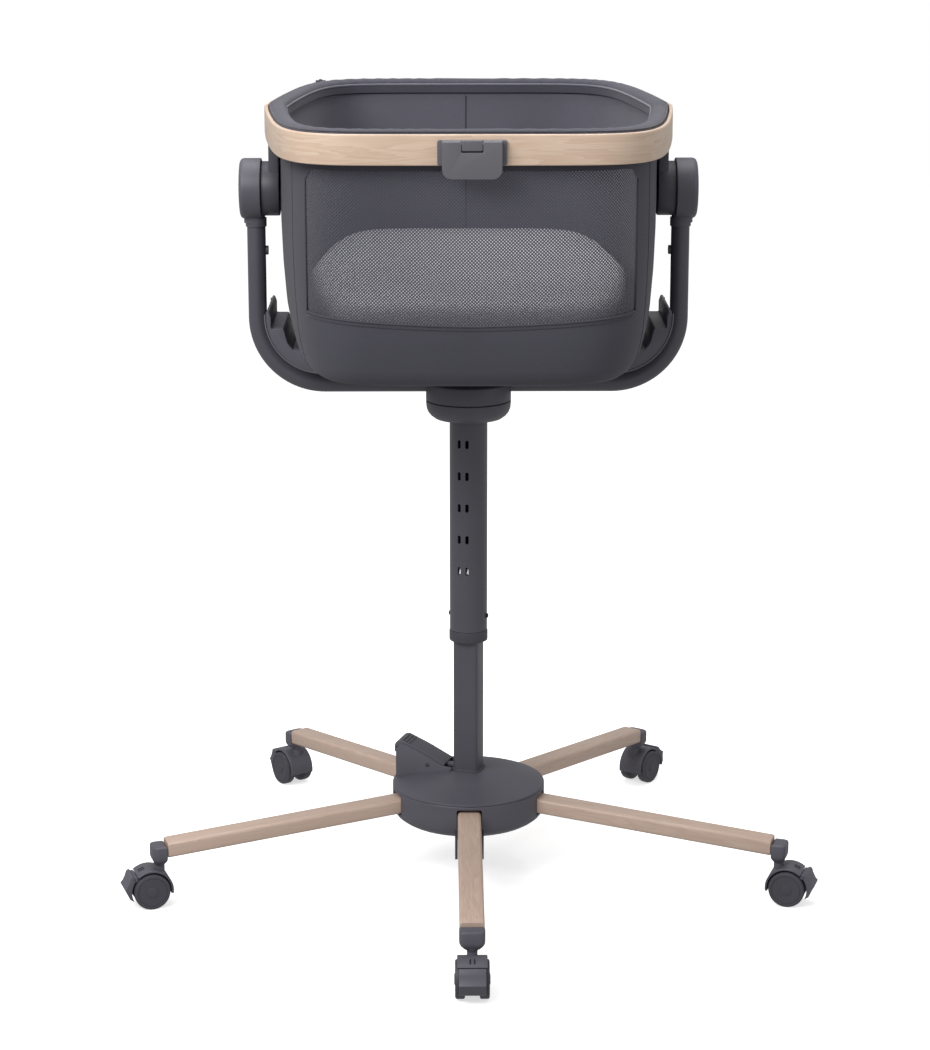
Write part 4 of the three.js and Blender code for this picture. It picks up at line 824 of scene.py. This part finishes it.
cup = [
    [24.0, 626.5], [38.0, 627.0], [44.5, 628.6], [49.8, 632.5], [53.4, 637.0], [55.2, 642.0],
    [56.0, 649.0], [55.9, 651.4], [55.0, 652.0], [24.0, 652.0]
]
skinned("swivel cup", at(revolved(cup, 96)), charcoal_abs, "mast", ("swivel_cup",), loop=True)
saddle = [
    [9.0, 652.7], [55.0, 652.7], [56.0, 653.4], [56.0, 673.4], [55.0, 675.4], [53.0, 676.0],
    [0.5, 676.4]
]
ridge_line = boxed(-35, 35, 668, 690.5, [0.5, 0.5, 6, 6], 6)
joined(
    "fork saddle",
    [shell_of(at(revolved(saddle, 96))), shell_of(at(slab_rings(ridge_line, 16.5, 3.0, 5)))],
    charcoal_abs, "fork", ("fork_saddle",)
)


# ---- pedal

PEDAL_WAY = math.radians(162)
PX, PZ, TIP = 52.0, 148.0, 100.0
SKIRT = TIP - 2.5
top_line = [
    [TIP, PZ + 23], [TIP - 3, PZ + 28], [TIP - 9, PZ + 30], [PX + 28, PZ + 25.5],
    [PX + 10, PZ + 18], [PX - 7, PZ + 9.5], [PX - 23, PZ + 1.5]
]
pedal_line = np.array(
    [
        [PX - 5, PZ - 4.5], [PX + 5, PZ - 4], [PX + 9, PZ + 5], [PX + 24, PZ + 13],
        [PX + 38, PZ + 20], [SKIRT, PZ + 20.5], [SKIRT, PZ + 13], [TIP, PZ + 13]
    ] + top_line + [[PX - 23, PZ - 1], [PX - 10, PZ - 1]]
)
pedal_line = rounded_line(pedal_line, [2, 2, 3, 5, 1.5, 1.5, 1.5, 2, 4, 4, 6, 8, 8, 8, 1.2, 1.2, 2], 5)
plate = slab_rings(pedal_line, 18.4, 0.8, 4)
tail = slab_rings([[-2, 143], [52, 143], [52, 150], [20, 147], [-2, 146.5]], 5, 0.6, 3)
pedal_parts = [shell_of(at(plate, PEDAL_WAY)), shell_of(at(tail, PEDAL_WAY))]
slope = np.array([[PX + 28, PZ + 25.5], [TIP - 9, PZ + 30]])
for step in (0.05, 0.42, 0.8):
    spot = slope[0] + (slope[1] - slope[0]) * step
    ridge = rounded_line(spot + np.array([[-1.8, -1.0], [1.8, -0.6], [1.1, 1.7], [-1.3, 1.4]]), 0.8, 4)
    pedal_parts.append(shell_of(at(slab_rings(ridge, 15.5, 0.9, 3), PEDAL_WAY)))
joined("foot pedal", pedal_parts, charcoal_abs, "pedal", ("foot_pedal",))

wall_end = SKIRT - 0.5
cheek = [
    [18.5, 129], [wall_end, 121.6], [wall_end, PZ + 19.5], [wall_end - 8, PZ + 26],
    [PX + 28, PZ + 23.5], [PX + 10, PZ + 16], [PX - 7, PZ + 7.5], [PX - 23, PZ - 0.5],
    [18.5, PZ - 1]
]
cheek = rounded_line(cheek, [0.5, 0.5, 3, 6, 8, 8, 8, 6, 1], 5)
housing = []
for side in (-1, 1):
    side_wall = slab_rings(cheek, 1.5, 0.6, 3) + np.array([0, side * 20.5, 0])
    housing.append(shell_of(at(side_wall, PEDAL_WAY)))
end_wall = boxed(wall_end - 3, wall_end, 121.6, PZ + 11, 0.4, 3)
housing.append(shell_of(at(slab_rings(end_wall, 21.5, 0.5, 3), PEDAL_WAY)))
joined("pedal housing", housing, charcoal_abs, "base", ("pedal_housing",))
pin = lying(revolved([[2.2, -22.8], [3.0, -22.4], [3.0, 22.4], [2.2, 22.8]], 28)) + np.array([PX, 0, PZ])
skinned("pedal pin", at(pin, PEDAL_WAY), dark_abs, "base", ("pedal_pin",))


# ---- fork

ARM_X, BAR_Z, BEND, TUBE_RADIUS = 275.0, 675.0, 87.0, 12.0
ARM_TOP, PIVOT_Z = 893.0, 930.0
bend_turn = np.radians(np.linspace(0, 90, 25))
half_path = np.concatenate(
    [
        np.stack([np.linspace(0, ARM_X - BEND, 12)[:-1], np.full(11, BAR_Z)], -1),
        np.stack(
            [ARM_X - BEND + BEND * np.sin(bend_turn), BAR_Z + BEND * (1 - np.cos(bend_turn))], -1
        ),
        np.stack([np.full(8, ARM_X), np.linspace(BAR_Z + BEND, ARM_TOP, 9)[1:]], -1)
    ]
)
path = np.concatenate([half_path[::-1] * np.array([-1, 1]), half_path[1:]])
path = np.stack([path[:, 0], 0 * path[:, 0], path[:, 1]], -1)
tangent = np.gradient(path, axis=0)
tangent /= np.linalg.norm(tangent, axis=1, keepdims=True)
fork_rings = tube_about(path, TUBE_RADIUS, np.cross(tangent, ALONG_Y), ALONG_Y, 32)
skinned("fork tube", at(fork_rings), coated_steel, "fork", ("fork_tube",))

for side, name in ((1, "right"), (-1, "left")):
    mirror = np.array([side, 1, 1])
    collar = revolved([[12.2, 880.8], [13.2, 881.0], [13.6, 881.8], [13.6, 892.5]], 36)
    drum = about_x(
        revolved(
            [
                [38.2, 267.0], [39.0, 267.8], [39.0, 288.6], [38.4, 291.4], [36.8, 293.4],
                [34.2, 294.6], [30.0, 295.0], [27.5, 294.9], [27.0, 294.5], [26.4, 294.9],
                [0.2, 295.3]
            ],
            72
        )
    )
    neck = [
        level(shape + np.array([277.0, 0]), z)
        for shape, z in (
            (rounded_rectangle(27.0, 27.2, 12.5, 6), 886.0),
            (rounded_rectangle(27.0, 27.6, 12.0, 6), 893.0),
            (rounded_rectangle(27.0, 34.0, 9.0, 6), 900.0)
        )
    ]
    joined(
        f"pivot hub {name}",
        [
            shell_of(at((collar + np.array([ARM_X, 0, 0])) * mirror)),
            shell_of(at((drum + np.array([0, 0, PIVOT_Z])) * mirror)),
            shell_of(at(np.array(neck) * mirror))
        ],
        charcoal_abs, "fork", (f"pivot_hub_{name}",)
    )
    knob = about_x(revolved([[5.2, -15.4], [6.0, -15.0], [6.0, -12.4], [4.0, -11.0], [4.0, -9.0]], 28))
    knob = (knob + np.array([ARM_X, 0, 850.0])) * mirror
    skinned(f"arm screw {name}", at(knob), dark_abs, "fork")

    ear_drum = about_x(
        revolved(
            [
                [32.0, 243.2], [34.4, 243.6], [35.0, 245.2], [35.0, 265.0], [34.2, 266.4],
                [10.0, 266.6], [10.0, 283.5], [9.4, 284.0]
            ],
            64
        )
    )
    ear_block = boxed(-26, 26, 930, 1000.4, [1, 1, 3, 3], 4)
    block = slab_rings(ear_block, 6.6, 1.8, 4)
    block = np.stack([block[..., 1] + 249.8, block[..., 0], block[..., 2]], -1)
    joined(
        f"tub pivot {name}",
        [
            shell_of(at((ear_drum + np.array([0, 0, PIVOT_Z])) * mirror)),
            shell_of(at(block * mirror))
        ],
        dark_abs, "tub", (f"pivot_ear_{name}",)
    )


# ---- cradle under the tub

CRADLE_BEND_X, CRADLE_RADIUS, CRADLE_Z = 188.0, 73.0, 774.0
side_x = CRADLE_BEND_X + CRADLE_RADIUS
half_outline = np.concatenate(
    [
        arc(CRADLE_RADIUS, -90, 0, (CRADLE_BEND_X, CRADLE_Z), 26),
        rounded_line(
            [
                [side_x, 774.2], [side_x - 1.5, 780.0], [side_x - 4.5, 780.0],
                [side_x - 7.0, 773.0], [side_x - 7.0, 758.0], [side_x - 23.0, 758.0],
                [side_x - 28.0, 738.5], [side_x - 35.0, 730.5]
            ],
            [0, 0.8, 0.8, 1.5, 1.5, 2, 4, 3], 4, closed=False
        )
    ]
)
cradle_outline = np.concatenate([half_outline, half_outline[::-1] * np.array([-1, 1])])


wall_shell = slab_rings(cradle_outline, 70.0, 0.5, 4)
skinned("cradle", at(wall_shell), charcoal_abs, "tub", ("cradle",), sharp=30.0)
for side, name in ((1, "right"), (-1, "left")):
    mirror = np.array([side, 1, 1])
    # The bead along the curved edge is given the lighter clip grey as a painted highlight, where the edge
    # catches the light.
    lip = arc(CRADLE_RADIUS + 0.5, -88, 2, (CRADLE_BEND_X, CRADLE_Z), 24)
    highlight_bead = []
    for y in (-70.4, 70.4):
        line = np.stack([lip[:, 0], np.full(len(lip), y), lip[:, 1]], -1)
        out = (lip - np.array([CRADLE_BEND_X, CRADLE_Z])) / (CRADLE_RADIUS + 0.5)
        outwards = np.stack([out[:, 0], 0 * out[:, 0], out[:, 1]], -1)
        highlight_bead.append(shell_of(at(tube_about(line, 1.1, outwards, ALONG_Y, 10) * mirror)))
    joined(f"cradle lip {name}", highlight_bead, clip_grey_and_lip_highlight, "tub")


# ---- plan of the tub

HALF_WIDTH, HALF_LENGTH = 262.0, 398.0
RING_POINTS = 192


def plan_ring(inset, height, half_width=HALF_WIDTH, half_length=HALF_LENGTH, count=RING_POINTS):
    """A rounded, slightly tapered rectangle: a superellipse of power 7, narrower at both ends.

    The points are spread so that they crowd round the corners."""
    turn = full_turn(count)
    angle = turn - 0.9 * np.sin(4 * turn) / 4
    across = np.sign(np.cos(angle)) * np.abs(np.cos(angle)) ** (2 / 7)
    along = np.sign(np.sin(angle)) * np.abs(np.sin(angle)) ** (2 / 7)
    taper = 1 - 0.16 * np.abs(along) ** 1.2
    inset = np.broadcast_to(np.asarray(inset, float), turn.shape)
    x = across * (half_width - inset) * taper
    y = along * (half_length - inset)
    return np.stack([x, y, np.broadcast_to(np.asarray(height, float), turn.shape)], -1)


def around_ring(ring):
    """Distance along a closed ring, in metres, for its points."""
    return run_along(ring) * MM


def plan_band(name, rings, section, material, stands_for, sharp=SHARP):
    """A band of the tub that follows the plan, mapped round the rim and up its section."""
    around = around_ring(rings[0])
    uv = np.concatenate(
        [np.stack([around, np.full(RING_POINTS, v * MM)], -1) for v in run_along(section)]
    )
    return skinned(name, at(rings), material, "tub", stands_for, loop=True, sharp=sharp, uv=uv)


# ---- rim

band_section = rounded_line(
    [[0, 1001.2], [0, 1037], [4.6, 1037], [4.6, 1001.2]], [1.8, 2.2, 0.8, 0.8], 4
)
band_rings = [plan_ring(inset, height) for inset, height in band_section]
plan_band("rim band", band_rings, band_section, band_wood, ("rim_band",))

pad_turn = np.linspace(0, np.pi, 15)
pad_section = np.concatenate(
    [
        [[5.8, 1022.6], [5.6, 1030.0]],
        np.stack([17.0 - 11.4 * np.cos(pad_turn), 1034.6 + 7.2 * np.sin(pad_turn) ** 0.85], -1),
        [[28.4, 1029.0], [27.6, 1022.6]]
    ]
)
pad_rings = []
turn = full_turn(RING_POINTS)
for n, (inset, height) in enumerate(pad_section):
    ripple = 0.35 * np.sin(turn * 61 + 1.7 * np.sin(turn * 7)) * (2 < n < 17)
    pad_rings.append(plan_ring(inset, height + ripple))
rim_pad = plan_band("rim pad", pad_rings, pad_section, pad_fabric, ("rim_pad",), 60.0)


def piping(name, inset, height, radius, material, sides=10):
    """A round cord of cloth that follows the plan at one inset and height."""
    line = plan_ring(inset, height)
    rings = looped_tube_rings(line, radius, sides)
    round_it = np.tile(np.linspace(0, 0.01, sides), RING_POINTS)
    uv = np.stack([np.repeat(around_ring(line), sides), round_it], -1)
    return skinned(name, at(rings), material, "tub", loop=True, sharp=None, uv=uv)


piping("inner piping", 27.8, 1034.2, 1.5, piping_fabric)
piping("outer zip", 7.4, 1039.0, 0.9, seam_thread)

slider = slab_rings(boxed(-7, 7, 0, 4, 1.2, 4), 3.4, 0.8, 3)
slider = slider + np.array([-204.0, 338.0, 1038.6])
pull = slab_rings(boxed(-2.2, 2.2, -12, 1, 1.0, 4), 0.9, 0.4, 3)
pull = pull + np.array([-204.0, 334.0, 1043.4])
joined("zip slider", [shell_of(at(slider)), shell_of(at(pull))], dark_abs, "tub")


# ---- cloth of the tub

TUB_LOW = 732.0
wall_outline = np.array(
    [
        [70, 0], [52, 2], [41, 9], [34, 20], [29, 38], [25, 60], [21.5, 105], [19.5, 160],
        [19.5, 289]
    ],
    float
)
rise_line = np.concatenate([np.linspace(0, 60, 13), np.linspace(60, 289, 27)[1:]])
WINDOW_HALF, WINDOW_LOW, WINDOW_SIDE, WINDOW_TOP, WINDOW_CORNER = 195.0, 79.0, 11.0, 261.0, 14.0


def wall_inset(rise):
    """How far the wall stands in from the rim at a height above the tub's bottom."""
    return np.interp(rise, wall_outline[:, 1], wall_outline[:, 0])


def wall_rings(outwards):
    """The wall as rings, one at each height of rise_line."""
    return np.array([plan_ring(wall_inset(rise) - outwards, TUB_LOW + rise) for rise in rise_line])


outer_wall = wall_rings(0.0)


def window_edges(x, grow=0.0):
    """The window's lower and upper edge at x across, with the window grown all round.

    The lower edge rises by WINDOW_SIDE towards the sides, and the upper corners are round."""
    low = WINDOW_LOW + WINDOW_SIDE * (np.abs(x) / WINDOW_HALF) ** 1.6 - grow
    corner = WINDOW_CORNER + grow
    into = np.clip(np.abs(x) - (WINDOW_HALF + grow - corner), 0, corner)
    return low, WINDOW_TOP + grow - (corner - np.sqrt(np.maximum(corner**2 - into**2, 0)))


def window_patch(grow, outwards, rows, columns):
    """A grid over the window on the foot wall: across by up, laid on the wall's own surface."""
    u = np.linspace(-1, 1, columns)
    x = (WINDOW_HALF + grow) * np.sign(u) * (1 - (1 - np.abs(u)) ** 1.15)
    low, top = window_edges(x, grow)
    rise = low + (top - low) * np.linspace(0, 1, rows)[:, None]
    return on_foot_wall(np.broadcast_to(x, rise.shape), rise, outwards)


def on_foot_wall(x, rise, outwards=0.0):
    """The spot of the foot wall's outside at x across and rise up, moved outwards."""
    fine = plan_ring(0.0, 0.0, count=4096)
    inset = wall_inset(rise) - outwards
    front = fine[fine[:, 1] < -HALF_LENGTH * 0.55]
    order = np.argsort(front[:, 0])
    share_x, share_y = front[order, 0] / HALF_WIDTH, -front[order, 1] / HALF_LENGTH
    y = -(HALF_LENGTH - inset) * np.interp(x / (HALF_WIDTH - inset), share_x, share_y)
    return np.stack([x, y, TUB_LOW + rise], -1)


def cloth_patch(name, points, material):
    """An open patch of cloth that faces -Y, from a grid of points, mapped by its own run."""
    rows, columns = points.shape[:2]
    across = run_along(points.swapaxes(0, 1)).T
    across = across - across.max(1, keepdims=True) / 2
    uv = np.stack([across, run_along(points)], -1).reshape(-1, 2) * MM
    quads = patch_faces(rows, columns)
    flat = points.reshape(-1, 3)
    a, b, c = (flat[quads[len(quads) // 2][n]] for n in (0, 1, 2))
    if np.cross(b - a, c - a)[1] > 0:
        quads = quads[:, ::-1]
    return finish_piece(name, at(flat), quads.tolist(), material, "tub", uv=uv, sharp=None)


# The ring of the wall is cut open over the window: columns that fall in it end at its edge.
in_front = outer_wall[-1, :, 1] < 0
front_columns = np.where(in_front & (np.abs(outer_wall[-1, :, 0]) < WINDOW_HALF + 3.0))[0]
first, last = front_columns.min(), front_columns.max()
BLEND_ROWS = 5  # rows over which the wall's own grid passes into the window's


def wall_grid(outwards):
    """The wall with its grid bent to the window's edge, and the faces inside the window left out."""
    rings = wall_rings(outwards)
    x = np.linspace(-WINDOW_HALF, WINDOW_HALF, last - first + 1)
    low, top = window_edges(x)
    low_row = int(np.searchsorted(rise_line, WINDOW_LOW + 3))
    top_row = int(np.searchsorted(rise_line, WINDOW_TOP)) - 1
    rises = np.tile(rise_line[:, None], (1, len(x)))
    rises[low_row : top_row + 1] = low + (top - low) * np.linspace(0, 1, top_row - low_row + 1)[:, None]
    below = np.linspace(0, 1, BLEND_ROWS + 1)[:, None]
    under = low_row - BLEND_ROWS
    rises[under : low_row + 1] = rise_line[under] + (low - rise_line[under]) * below
    above = np.linspace(0, 1, len(rise_line) - top_row)[:, None]
    rises[top_row:] = top + (rise_line[-1] - top) * above
    across = np.tile(x, (len(rise_line), 1))
    free = rings[under, first : last + 1, 0]
    across[under : low_row + 1] = free + (x - free) * below
    rings[under:, first : last + 1] = on_foot_wall(across[under:], rises[under:], outwards)
    quads = skin_faces(len(rise_line), RING_POINTS, False)
    quads = quads.reshape(len(rise_line) - 1, RING_POINTS, 4)
    keep = np.ones(quads.shape[:2], bool)
    keep[low_row:top_row, first:last] = False
    return rings, quads[keep]


ring_map = np.stack(
    [
        np.tile(around_ring(outer_wall[-1]), (len(rise_line), 1)),
        np.tile(run_along(outer_wall[:, 0])[:, None] * MM, (1, RING_POINTS))
    ],
    -1
).reshape(-1, 2)


def tub_cloth(name, outwards, material, faces_in, floor, stands_for=()):
    """The bag of the tub: the wall with its window opening, and a floor of shrinking rings."""
    rings, faces = wall_grid(outwards)
    points = rings.reshape(-1, 3)
    uv = ring_map
    if floor:
        inner = [plan_ring(70 + k * 190 - outwards, TUB_LOW - 0.4 * k) for k in (0.25, 0.5, 0.75, 0.97)]
        base = len(points)
        floor_points = np.concatenate(inner)
        quads_floor = skin_faces(5, RING_POINTS, False)
        index = np.concatenate([np.arange(RING_POINTS), base + np.arange(4 * RING_POINTS)])
        faces = np.concatenate([faces, index[quads_floor][:, ::-1]])
        points = np.concatenate([points, floor_points])
        uv = np.concatenate([uv, floor_points[:, :2] * MM])
    if faces_in:
        faces = faces[:, ::-1]
    return finish_piece(name, at(points), faces.tolist(), material, "tub", stands_for, 70.0, uv)


cloth = tub_cloth("tub cloth", 0.0, tub_fabric, False, True, ("tub_shell",))
lining = tub_cloth("tub lining", -4.2, lining_fabric, True, False)

mesh_points = window_patch(4.0, -1.2, 22, 60)
mesh_piece = cloth_patch("window mesh", mesh_points, window_mesh)
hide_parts("mesh_window")

# ---- seams of the tub


def seam(name, line, radius, material, sides=8):
    """A stitched seam: a thin half-sunk cord along a line of points."""
    rings = tube_rings(line, radius, sides)
    uv = np.stack(
        [np.repeat(run_along(line) * MM, sides), np.tile(np.linspace(0, 0.006, sides), len(line))],
        -1
    )
    return skinned(name, at(rings), material, "tub", sharp=None, uv=uv)


edge_rise = np.linspace(0, 1, 40)
for side, name in ((1, "right"), (-1, "left")):
    side_low = WINDOW_LOW + WINDOW_SIDE
    rise = side_low + (WINDOW_TOP - WINDOW_CORNER - side_low) * edge_rise
    line = on_foot_wall(np.full(40, side * WINDOW_HALF), rise, 0.2)
    seam(f"window side seam {name}", line, 1.1, tub_fabric)
    off = np.abs(outer_wall[-1, :, 0] - side * 212.0) + 1000 * (outer_wall[-1, :, 1] > -200)
    column = int(np.argmin(off))
    seam(f"corner seam {name}", outer_wall[:, column], 0.7, seam_thread)
x = np.linspace(-WINDOW_HALF, WINDOW_HALF, 80)
window_low, _ = window_edges(x)
seam("window lower seam", on_foot_wall(x, window_low, 0.2), 1.1, tub_fabric)
seam("window lower stitching", on_foot_wall(x, window_low - 5, 0.05), 0.7, seam_thread)
rise = np.linspace(60, 286, 40)
head_middle = wall_rings(-4.6)[:, RING_POINTS // 4, 1]
spine = np.stack([np.zeros(40), np.interp(rise, rise_line, head_middle), TUB_LOW + rise], -1)
seam("head wall seam", spine, 0.9, seam_thread)


# ---- mattress

mattress_section = [
    [8, 779.8], [2, 782.0], [0, 787.0], [-1.0, 800.0], [0, 816.0], [2.4, 824.0], [7, 830.0],
    [14, 833.4], [30, 834.2], [80, 834.6], [140, 834.6], [190, 834.5]
]
mattress_rings = [plan_ring(inset, height, 205.0, 356.0) for inset, height in mattress_section]
mattress_uv = np.concatenate(
    [ring[:, :2] * MM + np.array([0.0, (ring[0, 2] - 780) * MM]) for ring in mattress_rings]
)
mattress = skinned(
    "mattress", at(mattress_rings), mattress_cover, "tub", ("mattress",), sharp=70.0, uv=mattress_uv
)


# ---- clip on the rim

CLIP_BACK, CLIP_FRONT = -398.3, -402.3
HINGE = (-406.8, 1027.0)


def clip_part(outline, y_from, y_to, edge):
    """A plate in X and Z between two depths, as a closed shell."""
    half = (y_to - y_from) / 2
    rings = slab_rings(outline, half, edge, 4) + np.array([0, (y_from + y_to) / 2, 0])
    return shell_of(at(rings))


plate_line = boxed(-40, 40, 1002, 1031, 3.0, 6)
block_line = boxed(-12, 12, 1019, 1031, 2.0, 5)
joined(
    "clip plate",
    [clip_part(plate_line, CLIP_FRONT, CLIP_BACK, 1.0), clip_part(block_line, -410.6, -401.3, 0.8)],
    clip_grey_and_lip_highlight, "tub", ("clip_plate",)
)
flap_line = rounded_line(
    [
        [-34.5, 987], [34.5, 987], [34.5, 1029.0], [12.6, 1029.0], [12.6, 1017.4], [-12.6, 1017.4],
        [-12.6, 1029.0], [-34.5, 1029.0]
    ],
    [13, 13, 1.5, 1.5, 1.5, 1.5, 1.5, 1.5], 8
)
barrels = []
for side in (-1, 1):
    barrel = about_x(revolved([[3.4, 12.6], [4.0, 13.2], [4.0, 33.9], [3.4, 34.5]], 28))
    barrels.append(shell_of(at(barrel * np.array([side, 1, 1]) + np.array([0, HINGE[0], HINGE[1]]))))
joined(
    "clip flap", [clip_part(flap_line, -410.8, -406.8, 0.5)] + barrels, clip_grey_and_lip_highlight, "clip_flap",
    ("clip_flap",)
)


# ---- room, light and camera

floor_mesh = bpy.data.meshes.new("floor")
floor_points = [[-60, -60, -0.0004], [60, -60, -0.0004], [60, 60, -0.0004], [-60, 60, -0.0004]]
floor_mesh.from_pydata(floor_points, [], [[0, 1, 2, 3]])
floor_paper, paper_tree, paper_shader = new_material("white paper floor")
feed(
    paper_tree, paper_shader,
    {
        "Base Color": linear("#fbfbfb"), "Roughness": 0.9, "Specular IOR Level": 0.1,
        "Emission Color": linear("#ffffff"), "Emission Strength": 0.6
    }
)
floor_mesh.materials.append(floor_paper)
floor = bpy.data.objects.new("floor", floor_mesh)
bpy.context.scene.collection.objects.link(floor)
floor.visible_diffuse = False
floor.visible_glossy = False

world = bpy.data.worlds.new("studio")
world.use_nodes = True
world.node_tree.nodes["Background"].inputs["Color"].default_value = linear("#ffffff")
world.node_tree.nodes["Background"].inputs["Strength"].default_value = 0.42
bpy.context.scene.world = world


def soft_box(name, place, target, size, power):
    """A square studio lamp aimed at a point."""
    lamp = bpy.data.lights.new(name, "AREA")
    lamp.shape, lamp.size, lamp.size_y, lamp.energy = "RECTANGLE", size[0], size[1], power
    holder = bpy.data.objects.new(name, lamp)
    holder.location = place
    aim = Vector(target) - Vector(place)
    holder.rotation_euler = aim.to_track_quat("-Z", "Y").to_euler()
    bpy.context.scene.collection.objects.link(holder)


soft_box("key", (-1.9, -1.9, 2.6), (0, 0, 0.6), (1.4, 1.4), 46)
soft_box("fill", (2.4, -1.6, 1.7), (0, 0, 0.6), (1.6, 1.6), 6)
soft_box("low front", (-0.9, -1.9, 2.1), (0, -0.1, 0.1), (1.0, 1.0), 14)
soft_box("top", (0.0, 0.4, 3.0), (0, 0, 0.8), (1.8, 1.8), 42)

camera_data = bpy.data.cameras.new("camera")
camera_data.sensor_width = 36.0
camera_data.lens = 92.74
camera_data.shift_x = -0.0033
camera_data.clip_end = 30.0
camera = bpy.data.objects.new("camera", camera_data)
camera.location = (-0.0367, AXIS_Y - 3.4998, 1.3335)
camera.rotation_euler = (math.radians(90 - 13.676), 0.0, math.radians(-0.6))
bpy.context.scene.collection.objects.link(camera)
bpy.context.scene.camera = camera
bpy.context.scene.view_settings.view_transform = "Standard"
